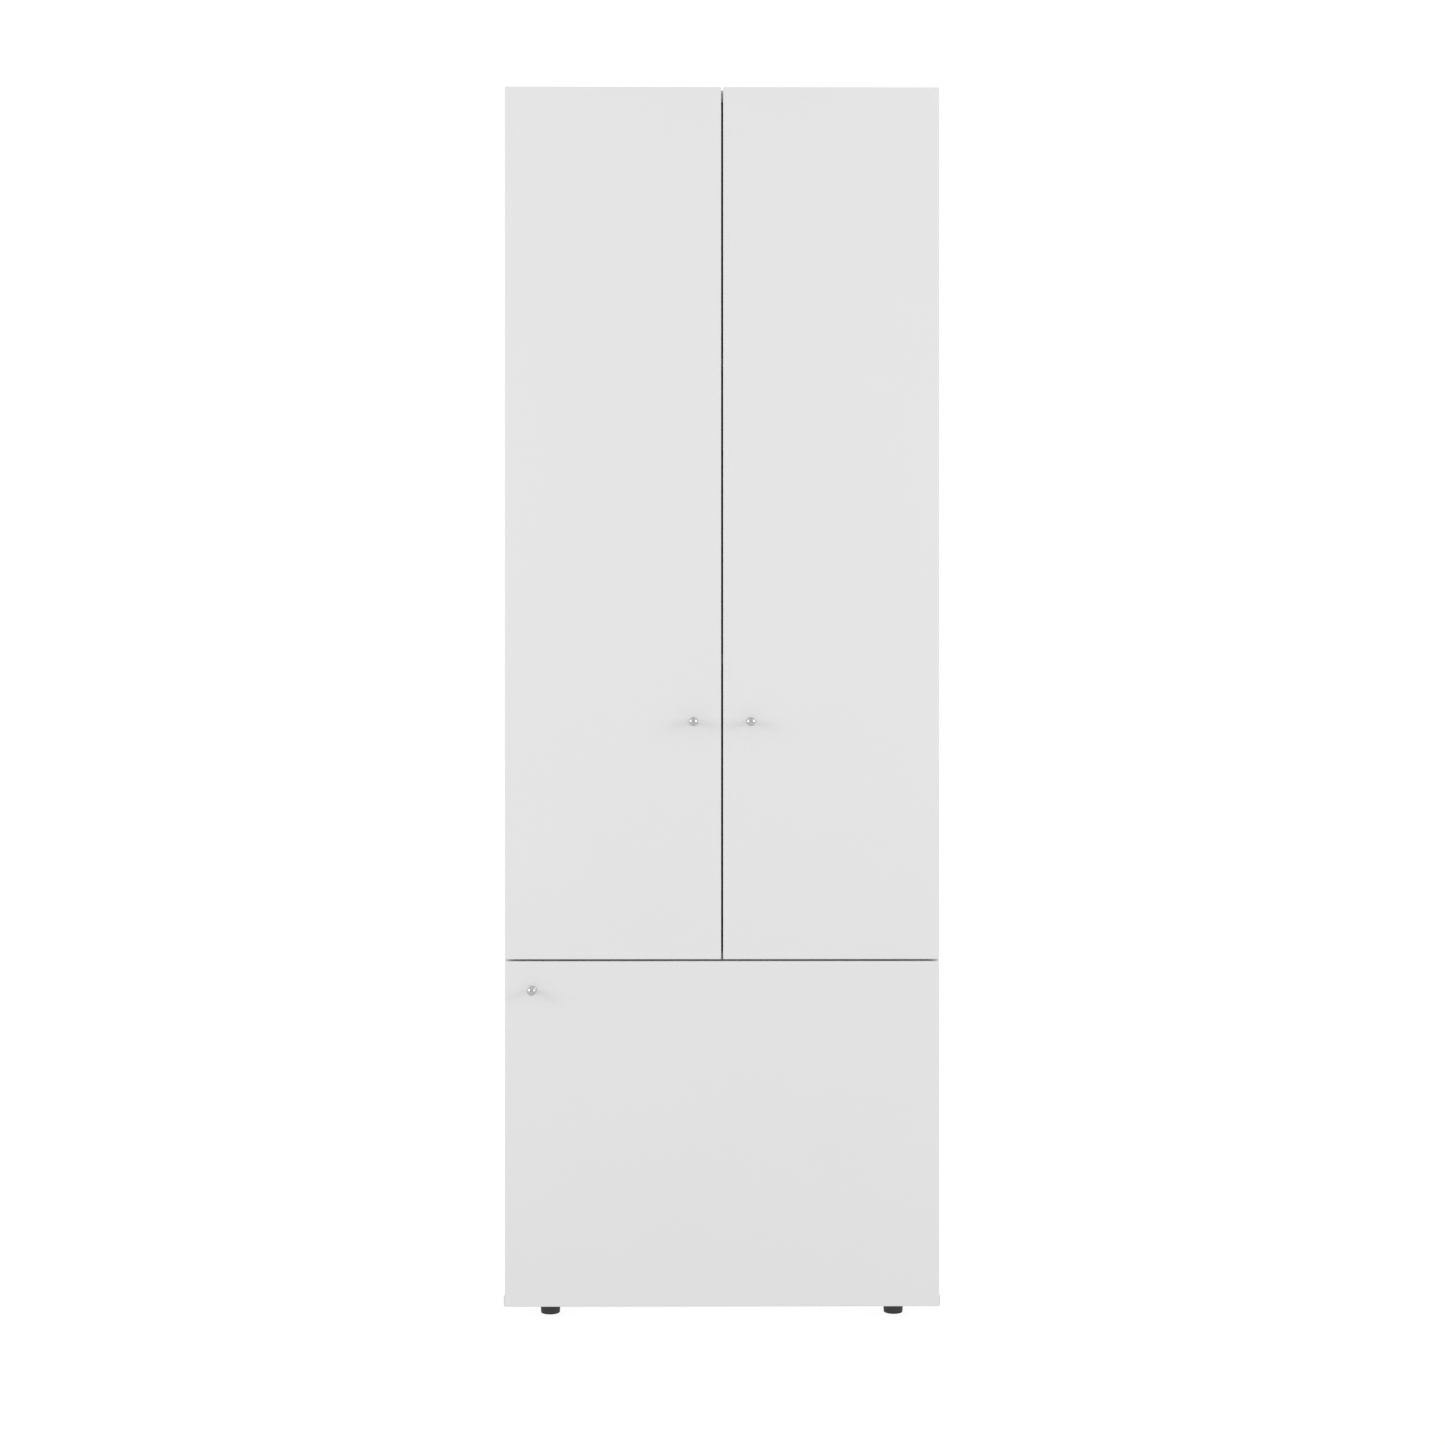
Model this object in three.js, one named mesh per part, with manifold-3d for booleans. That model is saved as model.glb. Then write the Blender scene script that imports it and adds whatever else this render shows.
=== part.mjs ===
// Tall storage wardrobe in white board: a carcass on four glides, two tall doors above one wide
// lower door, all overlay doors on concealed cup hinges.
// Millimetres, +Z up. The doors face -Y, the floor is z = 0, and x = 0 is the middle of the front.
import * as THREE from "three";
import { mergeVertices } from "three/addons/utils/BufferGeometryUtils.js";
import Module from "manifold-3d";

const wasm = await Module();
wasm.setup();

// ---- driving dimensions -------------------------------------------------------------------------

const CARCASS_HALF_WIDTH = 351; // to the outer face of a side panel
const CARCASS_FRONT = -168; // y of the boards' front edges
const CARCASS_BACK = 212; // y of the boards' rear edges
const SIDE_THICKNESS = 16;
const PLATE_THICKNESS = 19; // top, divider and base plate
const BASE_HALF_WIDTH = 353.5; // the base plate stands a little proud of the sides
const BASE_EDGE_RADIUS = 3;
const CABINET_TOP = 1991;
const DIVIDER_TOP = 596;

const BACK_THICKNESS = 3;
const BACK_GROOVE = { width: 4, depth: 7, inset: 10 }; // inset from the boards' rear edges
const BACK_EDGE_IN_GROOVE = 6.5;
const BACK_SEAM = { height: 586.5, gap: 1 }; // where the two back panels meet, behind the divider

const SHELF = { thickness: 18, endGap: 1.5, setback: 20, rearGap: 1.5 };
const SHELF_PIN = {
  heights: { lower: 1060, upper: 1540 },
  setback: 37, // from the front edge, and from the back panel, to the pin's axis
  drop: 2.5, // from the shelf's underside to the pin's axis
  holeRadius: 2.6,
  holeDepth: 9,
  radius: 2.4,
  inHole: 8.5,
  collarRadius: 4,
  collarThickness: 1.2,
  tongueReach: 9,
  tongueHalfWidth: 3.5,
  tongueThickness: 3.5,
};

const DOOR_HALF_WIDTH = 350;
const DOOR_THICKNESS = 16;
const DOOR_STANDOFF = 3; // from the carcass front to the door's back
const DOOR_GAP = 3.25;
const DOOR_EDGE_CHAMFER = 1;
const UPPER_DOOR_BOTTOM = 585.5;
const LOWER_DOOR_BOTTOM = 26;

const UPPER_HINGE_HEIGHTS = { low: 692, mid: 1300, high: 1876 };
const LOWER_HINGE_HEIGHTS = { low: 116, high: 500 };

const FOOT = { height: 21, topRadius: 16.7, bottomRadius: 15.45, rimRound: 1, x: 281, setback: 47 };

// A knob is turned: a base on the door, a waist, and a domed head. Pairs of radius and reach.
const KNOB_PROFILE = [
  [0, 0],
  [6.8, 0],
  [6.8, 1.5],
  [4.25, 3.5],
  [3.75, 7],
  [4.25, 11],
  [5.75, 14],
  [7.1, 16.25],
  [7.4, 18.5],
  [6.9, 21],
  [5.25, 23.25],
  [2.75, 24.6],
  [0, 25],
];
const KNOB_PLACES = {
  upper_left: { x: -46.2, z: 968.5 },
  upper_right: { x: 46.2, z: 968.5 },
  lower: { x: -305.5, z: 536.5 },
};

// One hinge in its own frame, for a door hung on the left side panel: x from the panel's inner face
// into the cabinet, y from the carcass front to the back, z from the middle of the hinge.
const PIVOT = { x: -7, y: -11.6 };
const CUP = {
  centre: 5.5,
  radius: 17.5,
  inside: 16.3,
  floor: -14.3,
  bottom: -15.5,
  flangeRadius: 18,
  flangeThickness: 1,
  wingFrom: -2,
  wingTo: 20,
  wingHalfHeight: 27,
};
const CUP_BORE = { radius: 17.75, floor: -15.75 }; // in the door
const KNUCKLE = { radius: 2.2, bore: 1.3 };
const HINGE_PIN = { radius: 1.1, halfLength: 10.9 };
const STRAP = { thickness: 2, halfHeight: 6, neck: 10, bend: 3 };
const ARM = { from: 3, to: 13, start: 2, end: 62, halfHeight: 8, wall: 1.5 };
const MOUNTING_PLATE = {
  rail: { top: 9, from: 20, to: 60, halfHeight: 6 },
  wing: { top: 2, from: 29, to: 45, halfHeight: 24 },
};

const FINE_SIDES = 12; // sides of small round things
const ROUND_SIDES = 24;
const CUT_OVERRUN = 1; // how far a cutter starts outside the face that it cuts

// ---- worked out from them -----------------------------------------------------------------------

const SIDE_INNER = CARCASS_HALF_WIDTH - SIDE_THICKNESS;
const BASE_TOP = FOOT.height + PLATE_THICKNESS;
const TOP_UNDERSIDE = CABINET_TOP - PLATE_THICKNESS;
const GROOVE_Y = [
  CARCASS_BACK - BACK_GROOVE.inset - BACK_GROOVE.width,
  CARCASS_BACK - BACK_GROOVE.inset,
];
const BACK_FRONT_FACE = GROOVE_Y[0] + (BACK_GROOVE.width - BACK_THICKNESS) / 2;
const DOOR_BACK = CARCASS_FRONT - DOOR_STANDOFF;
const DOOR_FRONT = DOOR_BACK - DOOR_THICKNESS;
const LOWER_DOOR_TOP = UPPER_DOOR_BOTTOM - DOOR_GAP;
const PIN_ROWS = {
  front: CARCASS_FRONT + SHELF_PIN.setback,
  rear: BACK_FRONT_FACE - SHELF_PIN.setback,
};

// ---- finishes: each mesh gets a material of its own ---------------------------------------------

const finish = (color, roughness, metalness) => () =>
  new THREE.MeshStandardMaterial({ color, roughness, metalness });

const whiteBoard = finish(0xe4e4e3, 0.55, 0);
const whiteDoor = finish(0xe6e6e6, 0.5, 0);
const whiteHardboard = finish(0xdedddb, 0.65, 0);
const blackPlastic = finish(0x2a2a2b, 0.6, 0);
const chrome = finish(0xd8dadc, 0.12, 1);
const nickel = finish(0xb9bab8, 0.35, 1);
const steel = finish(0x9a9c9e, 0.4, 1);

// ---- solids -------------------------------------------------------------------------------------

function toSolid(geometry) {
  const bare = geometry.clone();
  bare.deleteAttribute("normal");
  bare.deleteAttribute("uv");
  const merged = mergeVertices(bare, 1e-4);
  return new wasm.Manifold(
    new wasm.Mesh({
      numProp: 3,
      vertProperties: merged.attributes.position.array,
      triVerts: new Uint32Array(merged.index.array),
    }),
  );
}

function toGeometry(solid) {
  const mesh = solid.getMesh();
  const geometry = new THREE.BufferGeometry();
  geometry.setAttribute("position", new THREE.BufferAttribute(mesh.vertProperties, 3));
  geometry.setIndex(new THREE.BufferAttribute(mesh.triVerts, 1));
  return geometry;
}

const join = (first, ...others) =>
  toGeometry(others.reduce((sum, other) => sum.add(toSolid(other)), toSolid(first)));

const cut = (first, ...others) =>
  toGeometry(others.reduce((rest, other) => rest.subtract(toSolid(other)), toSolid(first)));

function block([x0, x1], [y0, y1], [z0, z1]) {
  const box = new THREE.BoxGeometry(x1 - x0, y1 - y0, z1 - z0);
  return box.translate((x0 + x1) / 2, (y0 + y1) / 2, (z0 + z1) / 2);
}

// A round bar from one place to another along x, y or z, with its axis through `centre`.
function bar(along, radius, [from, to], centre, sides = FINE_SIDES) {
  const round = new THREE.CylinderGeometry(radius, radius, to - from, sides);
  if (along === "x") round.rotateZ(Math.PI / 2);
  if (along === "z") round.rotateX(Math.PI / 2);
  const middle = { ...centre, [along]: (from + to) / 2 };
  return round.translate(middle.x, middle.y, middle.z);
}

// A flat outline in x and y, raised from z0 to z1.
function raised(shape, [z0, z1], curveSegments = 4) {
  const depth = z1 - z0;
  const solid = new THREE.ExtrudeGeometry(shape, { depth, bevelEnabled: false, curveSegments });
  return solid.translate(0, 0, z0);
}

// A piece turned about the y axis, from pairs of radius and y that start and end on the axis, in
// the order that keeps the material on the left.
function turned(profile, sides) {
  const points = profile.map(([radius, y]) => new THREE.Vector2(radius, y));
  return new THREE.LatheGeometry(points, sides);
}

const ordered = (a, b) => (a < b ? [a, b] : [b, a]);

const cabinet = new THREE.Group();

function addNode(name, geometry, material, parent = cabinet) {
  const mesh = new THREE.Mesh(geometry, material());
  mesh.name = name;
  parent.add(mesh);
}

// ---- carcass boards -----------------------------------------------------------------------------

const HANDS = { left: -1, right: 1 };

// A side panel stands on the base plate. Its inner face has the groove for the back panels and the
// holes for the shelf pins.
function sidePanel(hand) {
  const inner = hand * SIDE_INNER;
  const outside = inner - hand * CUT_OVERRUN;
  const heights = [BASE_TOP, TOP_UNDERSIDE];
  const x = ordered(inner, hand * CARCASS_HALF_WIDTH);
  const board = block(x, [CARCASS_FRONT, CARCASS_BACK], heights);
  const groove = block(ordered(outside, inner + hand * BACK_GROOVE.depth), GROOVE_Y, [
    BASE_TOP - CUT_OVERRUN,
    TOP_UNDERSIDE + CUT_OVERRUN,
  ]);
  const holes = Object.values(SHELF_PIN.heights).flatMap((z) =>
    Object.values(PIN_ROWS).map((y) =>
      bar("x", SHELF_PIN.holeRadius, ordered(outside, inner + hand * SHELF_PIN.holeDepth), { y, z }),
    ),
  );
  return cut(board, groove, ...holes);
}

// A stopped groove for a back panel, in the upper or the lower face of a horizontal plate.
function grooved(plate, heights) {
  const reach = SIDE_INNER + BACK_GROOVE.depth;
  return cut(plate, block([-reach, reach], GROOVE_Y, heights));
}

function topPanel() {
  const plate = block(
    [-CARCASS_HALF_WIDTH, CARCASS_HALF_WIDTH],
    [CARCASS_FRONT, CARCASS_BACK],
    [TOP_UNDERSIDE, CABINET_TOP],
  );
  return grooved(plate, [TOP_UNDERSIDE - CUT_OVERRUN, TOP_UNDERSIDE + BACK_GROOVE.depth]);
}

// The base plate's long side edges are rounded: its section lies across x and is raised along y.
function basePlate() {
  const r = BASE_EDGE_RADIUS;
  const middle = BASE_HALF_WIDTH - r;
  const quarter = Math.PI / 2;
  const section = new THREE.Shape();
  section.moveTo(-middle, 0);
  section.absarc(middle, r, r, -quarter, 0);
  section.absarc(middle, PLATE_THICKNESS - r, r, 0, quarter);
  section.absarc(-middle, PLATE_THICKNESS - r, r, quarter, 2 * quarter);
  section.absarc(-middle, r, r, 2 * quarter, 3 * quarter);
  const depth = CARCASS_BACK - CARCASS_FRONT;
  const plate = raised(section, [0, depth], 3);
  plate.rotateX(quarter);
  // Turning the section leaves rounding errors, and the side panels stand exactly on this plate.
  const position = plate.attributes.position;
  for (let i = 0; i < position.count; i += 1) {
    position.setY(i, Math.round(position.getY(i)));
    position.setZ(i, Math.round(position.getZ(i) * 256) / 256);
  }
  plate.translate(0, CARCASS_BACK, FOOT.height);
  return grooved(plate, [BASE_TOP - BACK_GROOVE.depth, BASE_TOP + CUT_OVERRUN]);
}

function dividerPanel() {
  return block(
    [-SIDE_INNER, SIDE_INNER],
    [CARCASS_FRONT, BACK_FRONT_FACE],
    [DIVIDER_TOP - PLATE_THICKNESS, DIVIDER_TOP],
  );
}

function backPanel(heights) {
  const half = SIDE_INNER + BACK_EDGE_IN_GROOVE;
  return block([-half, half], [BACK_FRONT_FACE, BACK_FRONT_FACE + BACK_THICKNESS], heights);
}

for (const [side, hand] of Object.entries(HANDS)) {
  addNode(`side_panel_${side}`, sidePanel(hand), whiteBoard);
}
addNode("top_panel", topPanel(), whiteBoard);
addNode("divider_panel", dividerPanel(), whiteBoard);
addNode("base_plate", basePlate(), whiteBoard);
addNode(
  "back_panel_upper",
  backPanel([BACK_SEAM.height + BACK_SEAM.gap / 2, TOP_UNDERSIDE + BACK_EDGE_IN_GROOVE]),
  whiteHardboard,
);
addNode(
  "back_panel_lower",
  backPanel([BASE_TOP - BACK_EDGE_IN_GROOVE, BACK_SEAM.height - BACK_SEAM.gap / 2]),
  whiteHardboard,
);

// ---- shelves on their pins ----------------------------------------------------------------------

function shelf(underside) {
  const half = SIDE_INNER - SHELF.endGap;
  const y = [CARCASS_FRONT + SHELF.setback, BACK_FRONT_FACE - SHELF.rearGap];
  return block([-half, half], y, [underside, underside + SHELF.thickness]);
}

// A shelf pin: a round peg in the side panel, a collar against its face, and a flat tongue that the
// shelf lies on. Drawn for the left panel, and mirrored for the right one by `hand`.
function shelfPin(hand) {
  const along = (from, to) => ordered(-hand * from, -hand * to);
  const centre = { y: 0, z: 0 };
  const peg = bar("x", SHELF_PIN.radius, along(-SHELF_PIN.inHole, SHELF_PIN.tongueReach - 1), centre);
  const collar = bar("x", SHELF_PIN.collarRadius, along(0, SHELF_PIN.collarThickness), centre);
  const tongue = block(
    along(SHELF_PIN.collarThickness / 2, SHELF_PIN.tongueReach),
    [-SHELF_PIN.tongueHalfWidth, SHELF_PIN.tongueHalfWidth],
    [SHELF_PIN.drop - SHELF_PIN.tongueThickness, SHELF_PIN.drop],
  );
  return join(peg, collar, tongue);
}

for (const [level, height] of Object.entries(SHELF_PIN.heights)) {
  addNode(`shelf_${level}`, shelf(height + SHELF_PIN.drop), whiteBoard);
  for (const [row, y] of Object.entries(PIN_ROWS)) {
    for (const [side, hand] of Object.entries(HANDS)) {
      const pin = shelfPin(hand).translate(hand * SIDE_INNER, y, height);
      addNode(`shelf_pin_${level}_${row}_${side}`, pin, steel);
    }
  }
}

// ---- feet ---------------------------------------------------------------------------------------

// A round glide under the base plate, slightly narrower at the floor.
function foot() {
  const { height, topRadius, bottomRadius, rimRound } = FOOT;
  const profile = [
    [0, 0],
    [bottomRadius - rimRound, 0],
    [bottomRadius, rimRound],
    [topRadius, height],
    [0, height],
  ];
  return turned(profile, ROUND_SIDES).rotateX(Math.PI / 2);
}

const FOOT_ROWS = { front: CARCASS_FRONT + FOOT.setback, rear: CARCASS_BACK - FOOT.setback };
for (const [row, y] of Object.entries(FOOT_ROWS)) {
  for (const [side, hand] of Object.entries(HANDS)) {
    addNode(`foot_${row}_${side}`, foot().translate(hand * FOOT.x, y, 0), blackPlastic);
  }
}

// ---- hinges -------------------------------------------------------------------------------------

// The cup sits in the door's bore, with its flange and two wings flat on the door's back. Its wall
// is pierced where the pin passes through.
function hingeCup() {
  const back = -DOOR_STANDOFF;
  const flangeTop = back + CUP.flangeThickness;
  const profile = [
    [0, CUP.bottom],
    [CUP.radius, CUP.bottom],
    [CUP.radius, back],
    [CUP.flangeRadius, back],
    [CUP.flangeRadius, flangeTop],
    [CUP.inside, flangeTop],
    [CUP.inside, CUP.floor],
    [0, CUP.floor],
  ];
  const bowl = turned(profile, ROUND_SIDES).translate(CUP.centre, 0, 0);
  const middleOfFlange = (CUP.inside + CUP.flangeRadius) / 2;
  const wings = cut(
    block([CUP.wingFrom, CUP.wingTo], [back, flangeTop], [-CUP.wingHalfHeight, CUP.wingHalfHeight]),
    bar("y", middleOfFlange, [back - CUT_OVERRUN, flangeTop + CUT_OVERRUN], { x: CUP.centre, z: 0 }),
  );
  const wingPair = join(bowl, wings);
  const reach = HINGE_PIN.halfLength + 2 * CUT_OVERRUN;
  return cut(wingPair, bar("z", KNUCKLE.bore, [-reach, reach], PIVOT));
}

// The arm: a knuckle on the pin, a strap along the cup's floor, a neck out of the cup's mouth, and a
// channel over the mounting plate.
function hingeArm() {
  const floorSide = PIVOT.y - KNUCKLE.radius;
  const { thickness, neck, bend } = STRAP;
  const bendCentre = { x: neck - bend, y: floorSide + bend };
  const outline = new THREE.Shape();
  outline.moveTo(PIVOT.x, floorSide);
  outline.absarc(bendCentre.x, bendCentre.y, bend, -Math.PI / 2, 0);
  outline.lineTo(neck, ARM.start + 2 * ARM.wall);
  outline.lineTo(neck - thickness, ARM.start + 2 * ARM.wall);
  outline.absarc(bendCentre.x, bendCentre.y, bend - thickness, 0, -Math.PI / 2, true);
  outline.lineTo(PIVOT.x, floorSide + thickness);
  const strap = raised(outline, [-STRAP.halfHeight, STRAP.halfHeight], 3);
  const knuckle = bar("z", KNUCKLE.radius, [-STRAP.halfHeight, STRAP.halfHeight], PIVOT);
  const body = block([ARM.from, ARM.to], [ARM.start, ARM.end], [-ARM.halfHeight, ARM.halfHeight]);
  const inside = ARM.halfHeight - ARM.wall;
  const hollow = block(
    [ARM.from - CUT_OVERRUN, ARM.to - ARM.wall],
    [ARM.start + ARM.wall, ARM.end + CUT_OVERRUN],
    [-inside, inside],
  );
  const reach = STRAP.halfHeight + CUT_OVERRUN;
  return cut(join(strap, knuckle, body), hollow, bar("z", KNUCKLE.bore, [-reach, reach], PIVOT));
}

// The mounting plate lies on the side panel: two wings for the screws, and a rail under the arm.
function mountingPlate() {
  const part = ({ top, from, to, halfHeight }) =>
    block([0, top], [from, to], [-halfHeight, halfHeight]);
  return join(part(MOUNTING_PLATE.rail), part(MOUNTING_PLATE.wing));
}

function hingePin() {
  return bar("z", HINGE_PIN.radius, [-HINGE_PIN.halfLength, HINGE_PIN.halfLength], PIVOT);
}

const HINGE_PIECES = {
  cup: { make: hingeCup, material: nickel },
  pin: { make: hingePin, material: steel },
  arm: { make: hingeArm, material: nickel },
  plate: { make: mountingPlate, material: nickel },
};

// The right-hand hinges are the mirror image of the left-hand ones.
function addHinges(door, hand, heights) {
  for (const [level, z] of Object.entries(heights)) {
    const place = new THREE.Group();
    place.position.set(hand * SIDE_INNER, CARCASS_FRONT, z);
    place.scale.x = -hand;
    for (const [piece, { make, material }] of Object.entries(HINGE_PIECES)) {
      addNode(`hinge_${door}_${level}_${piece}`, make(), material, place);
    }
    cabinet.add(place);
  }
}

// ---- doors with their knobs ---------------------------------------------------------------------

// A flat door with lightly chamfered upright edges, bored from behind for its hinge cups.
function doorLeaf([x0, x1], heights, hand, hingeHeights) {
  const c = DOOR_EDGE_CHAMFER;
  const section = new THREE.Shape([
    new THREE.Vector2(x0 + c, DOOR_FRONT),
    new THREE.Vector2(x1 - c, DOOR_FRONT),
    new THREE.Vector2(x1, DOOR_FRONT + c),
    new THREE.Vector2(x1, DOOR_BACK - c),
    new THREE.Vector2(x1 - c, DOOR_BACK),
    new THREE.Vector2(x0 + c, DOOR_BACK),
    new THREE.Vector2(x0, DOOR_BACK - c),
    new THREE.Vector2(x0, DOOR_FRONT + c),
  ]);
  const x = hand * (SIDE_INNER - CUP.centre);
  const depth = [CARCASS_FRONT + CUP_BORE.floor, DOOR_BACK + CUT_OVERRUN];
  const bores = Object.values(hingeHeights).map((z) =>
    bar("y", CUP_BORE.radius, depth, { x, z }, ROUND_SIDES),
  );
  return cut(raised(section, heights), ...bores);
}

const DOORS = {
  upper_left: {
    x: [-DOOR_HALF_WIDTH, -DOOR_GAP / 2],
    z: [UPPER_DOOR_BOTTOM, CABINET_TOP],
    hand: HANDS.left,
    hinges: UPPER_HINGE_HEIGHTS,
  },
  upper_right: {
    x: [DOOR_GAP / 2, DOOR_HALF_WIDTH],
    z: [UPPER_DOOR_BOTTOM, CABINET_TOP],
    hand: HANDS.right,
    hinges: UPPER_HINGE_HEIGHTS,
  },
  lower: {
    x: [-DOOR_HALF_WIDTH, DOOR_HALF_WIDTH],
    z: [LOWER_DOOR_BOTTOM, LOWER_DOOR_TOP],
    hand: HANDS.right,
    hinges: LOWER_HINGE_HEIGHTS,
  },
};

function knob() {
  const forward = KNOB_PROFILE.map(([radius, reach]) => [radius, -reach]);
  return turned(forward.reverse(), ROUND_SIDES);
}

for (const [door, { x, z, hand, hinges }] of Object.entries(DOORS)) {
  addNode(`door_${door}`, doorLeaf(x, z, hand, hinges), whiteDoor);
  addHinges(door, hand, hinges);
  const place = KNOB_PLACES[door];
  addNode(`knob_${door}`, knob().translate(place.x, DOOR_FRONT, place.z), chrome);
}

export default cabinet;
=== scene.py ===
"""White storage wardrobe with two tall doors over one wide door.

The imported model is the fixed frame. Every piece that shows is built here, in metres and in the
frame's own axes: +Z up, -Y to the front. Sizes that belong to a piece are in millimetres, and its
place comes from the frame. A studio with a pale floor and a camera in front of the doors go round it.
"""

from __future__ import annotations

import logging
import math
from dataclasses import dataclass
from enum import Enum
from typing import Callable, Sequence

import bmesh
import bpy
from mathutils import Matrix, Vector


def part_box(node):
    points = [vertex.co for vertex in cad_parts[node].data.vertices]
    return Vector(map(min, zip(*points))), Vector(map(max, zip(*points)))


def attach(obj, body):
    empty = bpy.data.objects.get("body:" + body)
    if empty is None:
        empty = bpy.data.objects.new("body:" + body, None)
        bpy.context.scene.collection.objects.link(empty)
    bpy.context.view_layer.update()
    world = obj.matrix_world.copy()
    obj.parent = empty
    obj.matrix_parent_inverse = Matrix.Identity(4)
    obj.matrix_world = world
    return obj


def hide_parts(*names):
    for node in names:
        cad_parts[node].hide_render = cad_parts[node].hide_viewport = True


MM = 0.001
ON_AXIS = 1e-6  # a smaller radius, in millimetres, is a point on the axis
WELD = 1e-4  # corners closer than this, in millimetres, become one
CREASE = 40.0  # a larger turn between faces, in degrees, is a sharp edge
OVERRUN = 1.0  # how far a cutter stands out of the face that it cuts, in millimetres
WHITE = (1.0, 1.0, 1.0, 1.0)

Point = tuple[float, float, float]
Pair = tuple[float, float]

log = logging.getLogger("wardrobe")
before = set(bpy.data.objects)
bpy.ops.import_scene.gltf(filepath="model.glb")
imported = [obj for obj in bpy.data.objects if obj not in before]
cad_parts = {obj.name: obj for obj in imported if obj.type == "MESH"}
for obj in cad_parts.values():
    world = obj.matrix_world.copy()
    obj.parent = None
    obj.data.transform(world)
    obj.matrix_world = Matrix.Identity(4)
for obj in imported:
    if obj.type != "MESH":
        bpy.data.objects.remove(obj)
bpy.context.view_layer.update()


class Side(Enum):
    """The side panel that a piece is next to, as the sign of its x."""

    LEFT = -1
    RIGHT = 1

    @property
    def word(self) -> str:
        """The side's name, as the frame's nodes spell it."""
        return self.name.lower()


class Axis(Enum):
    """A direction for turned and raised pieces, as the turn that brings +Z onto it."""

    X = Matrix.Rotation(math.radians(90), 4, "Y")
    Y = Matrix.Rotation(math.radians(-90), 4, "X")
    Z = Matrix.Identity(4)


# ---- solids ---------------------------------------------------------------------------------------


def arc(centre: Pair, radius: float, start: float, end: float, steps: int) -> list[Pair]:
    """Points on a round stretch of an outline.

    Args:
        centre: Middle of the arc.
        radius: Its radius.
        start: First angle, in degrees.
        end: Last angle, in degrees.
        steps: Number of straight stretches.

    Returns:
        The points, first and last included.
    """
    turns = [math.radians(start + (end - start) * i / steps) for i in range(steps + 1)]
    return [(centre[0] + radius * math.cos(t), centre[1] + radius * math.sin(t)) for t in turns]


def quarter(start: Pair, end: Pair, steps: int) -> list[Pair]:
    """Points on a quarter of an ellipse, which leaves its start sideways and reaches its end upright.

    Args:
        start: Where it starts, which is not among the points.
        end: Where it ends.
        steps: Number of straight stretches.

    Returns:
        The points, the last one included.
    """
    turns = [math.radians(90 * i / steps) for i in range(1, steps + 1)]
    wide, tall = end[0] - start[0], end[1] - start[1]
    return [(start[0] + wide * math.sin(t), start[1] + tall * (1 - math.cos(t))) for t in turns]


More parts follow.
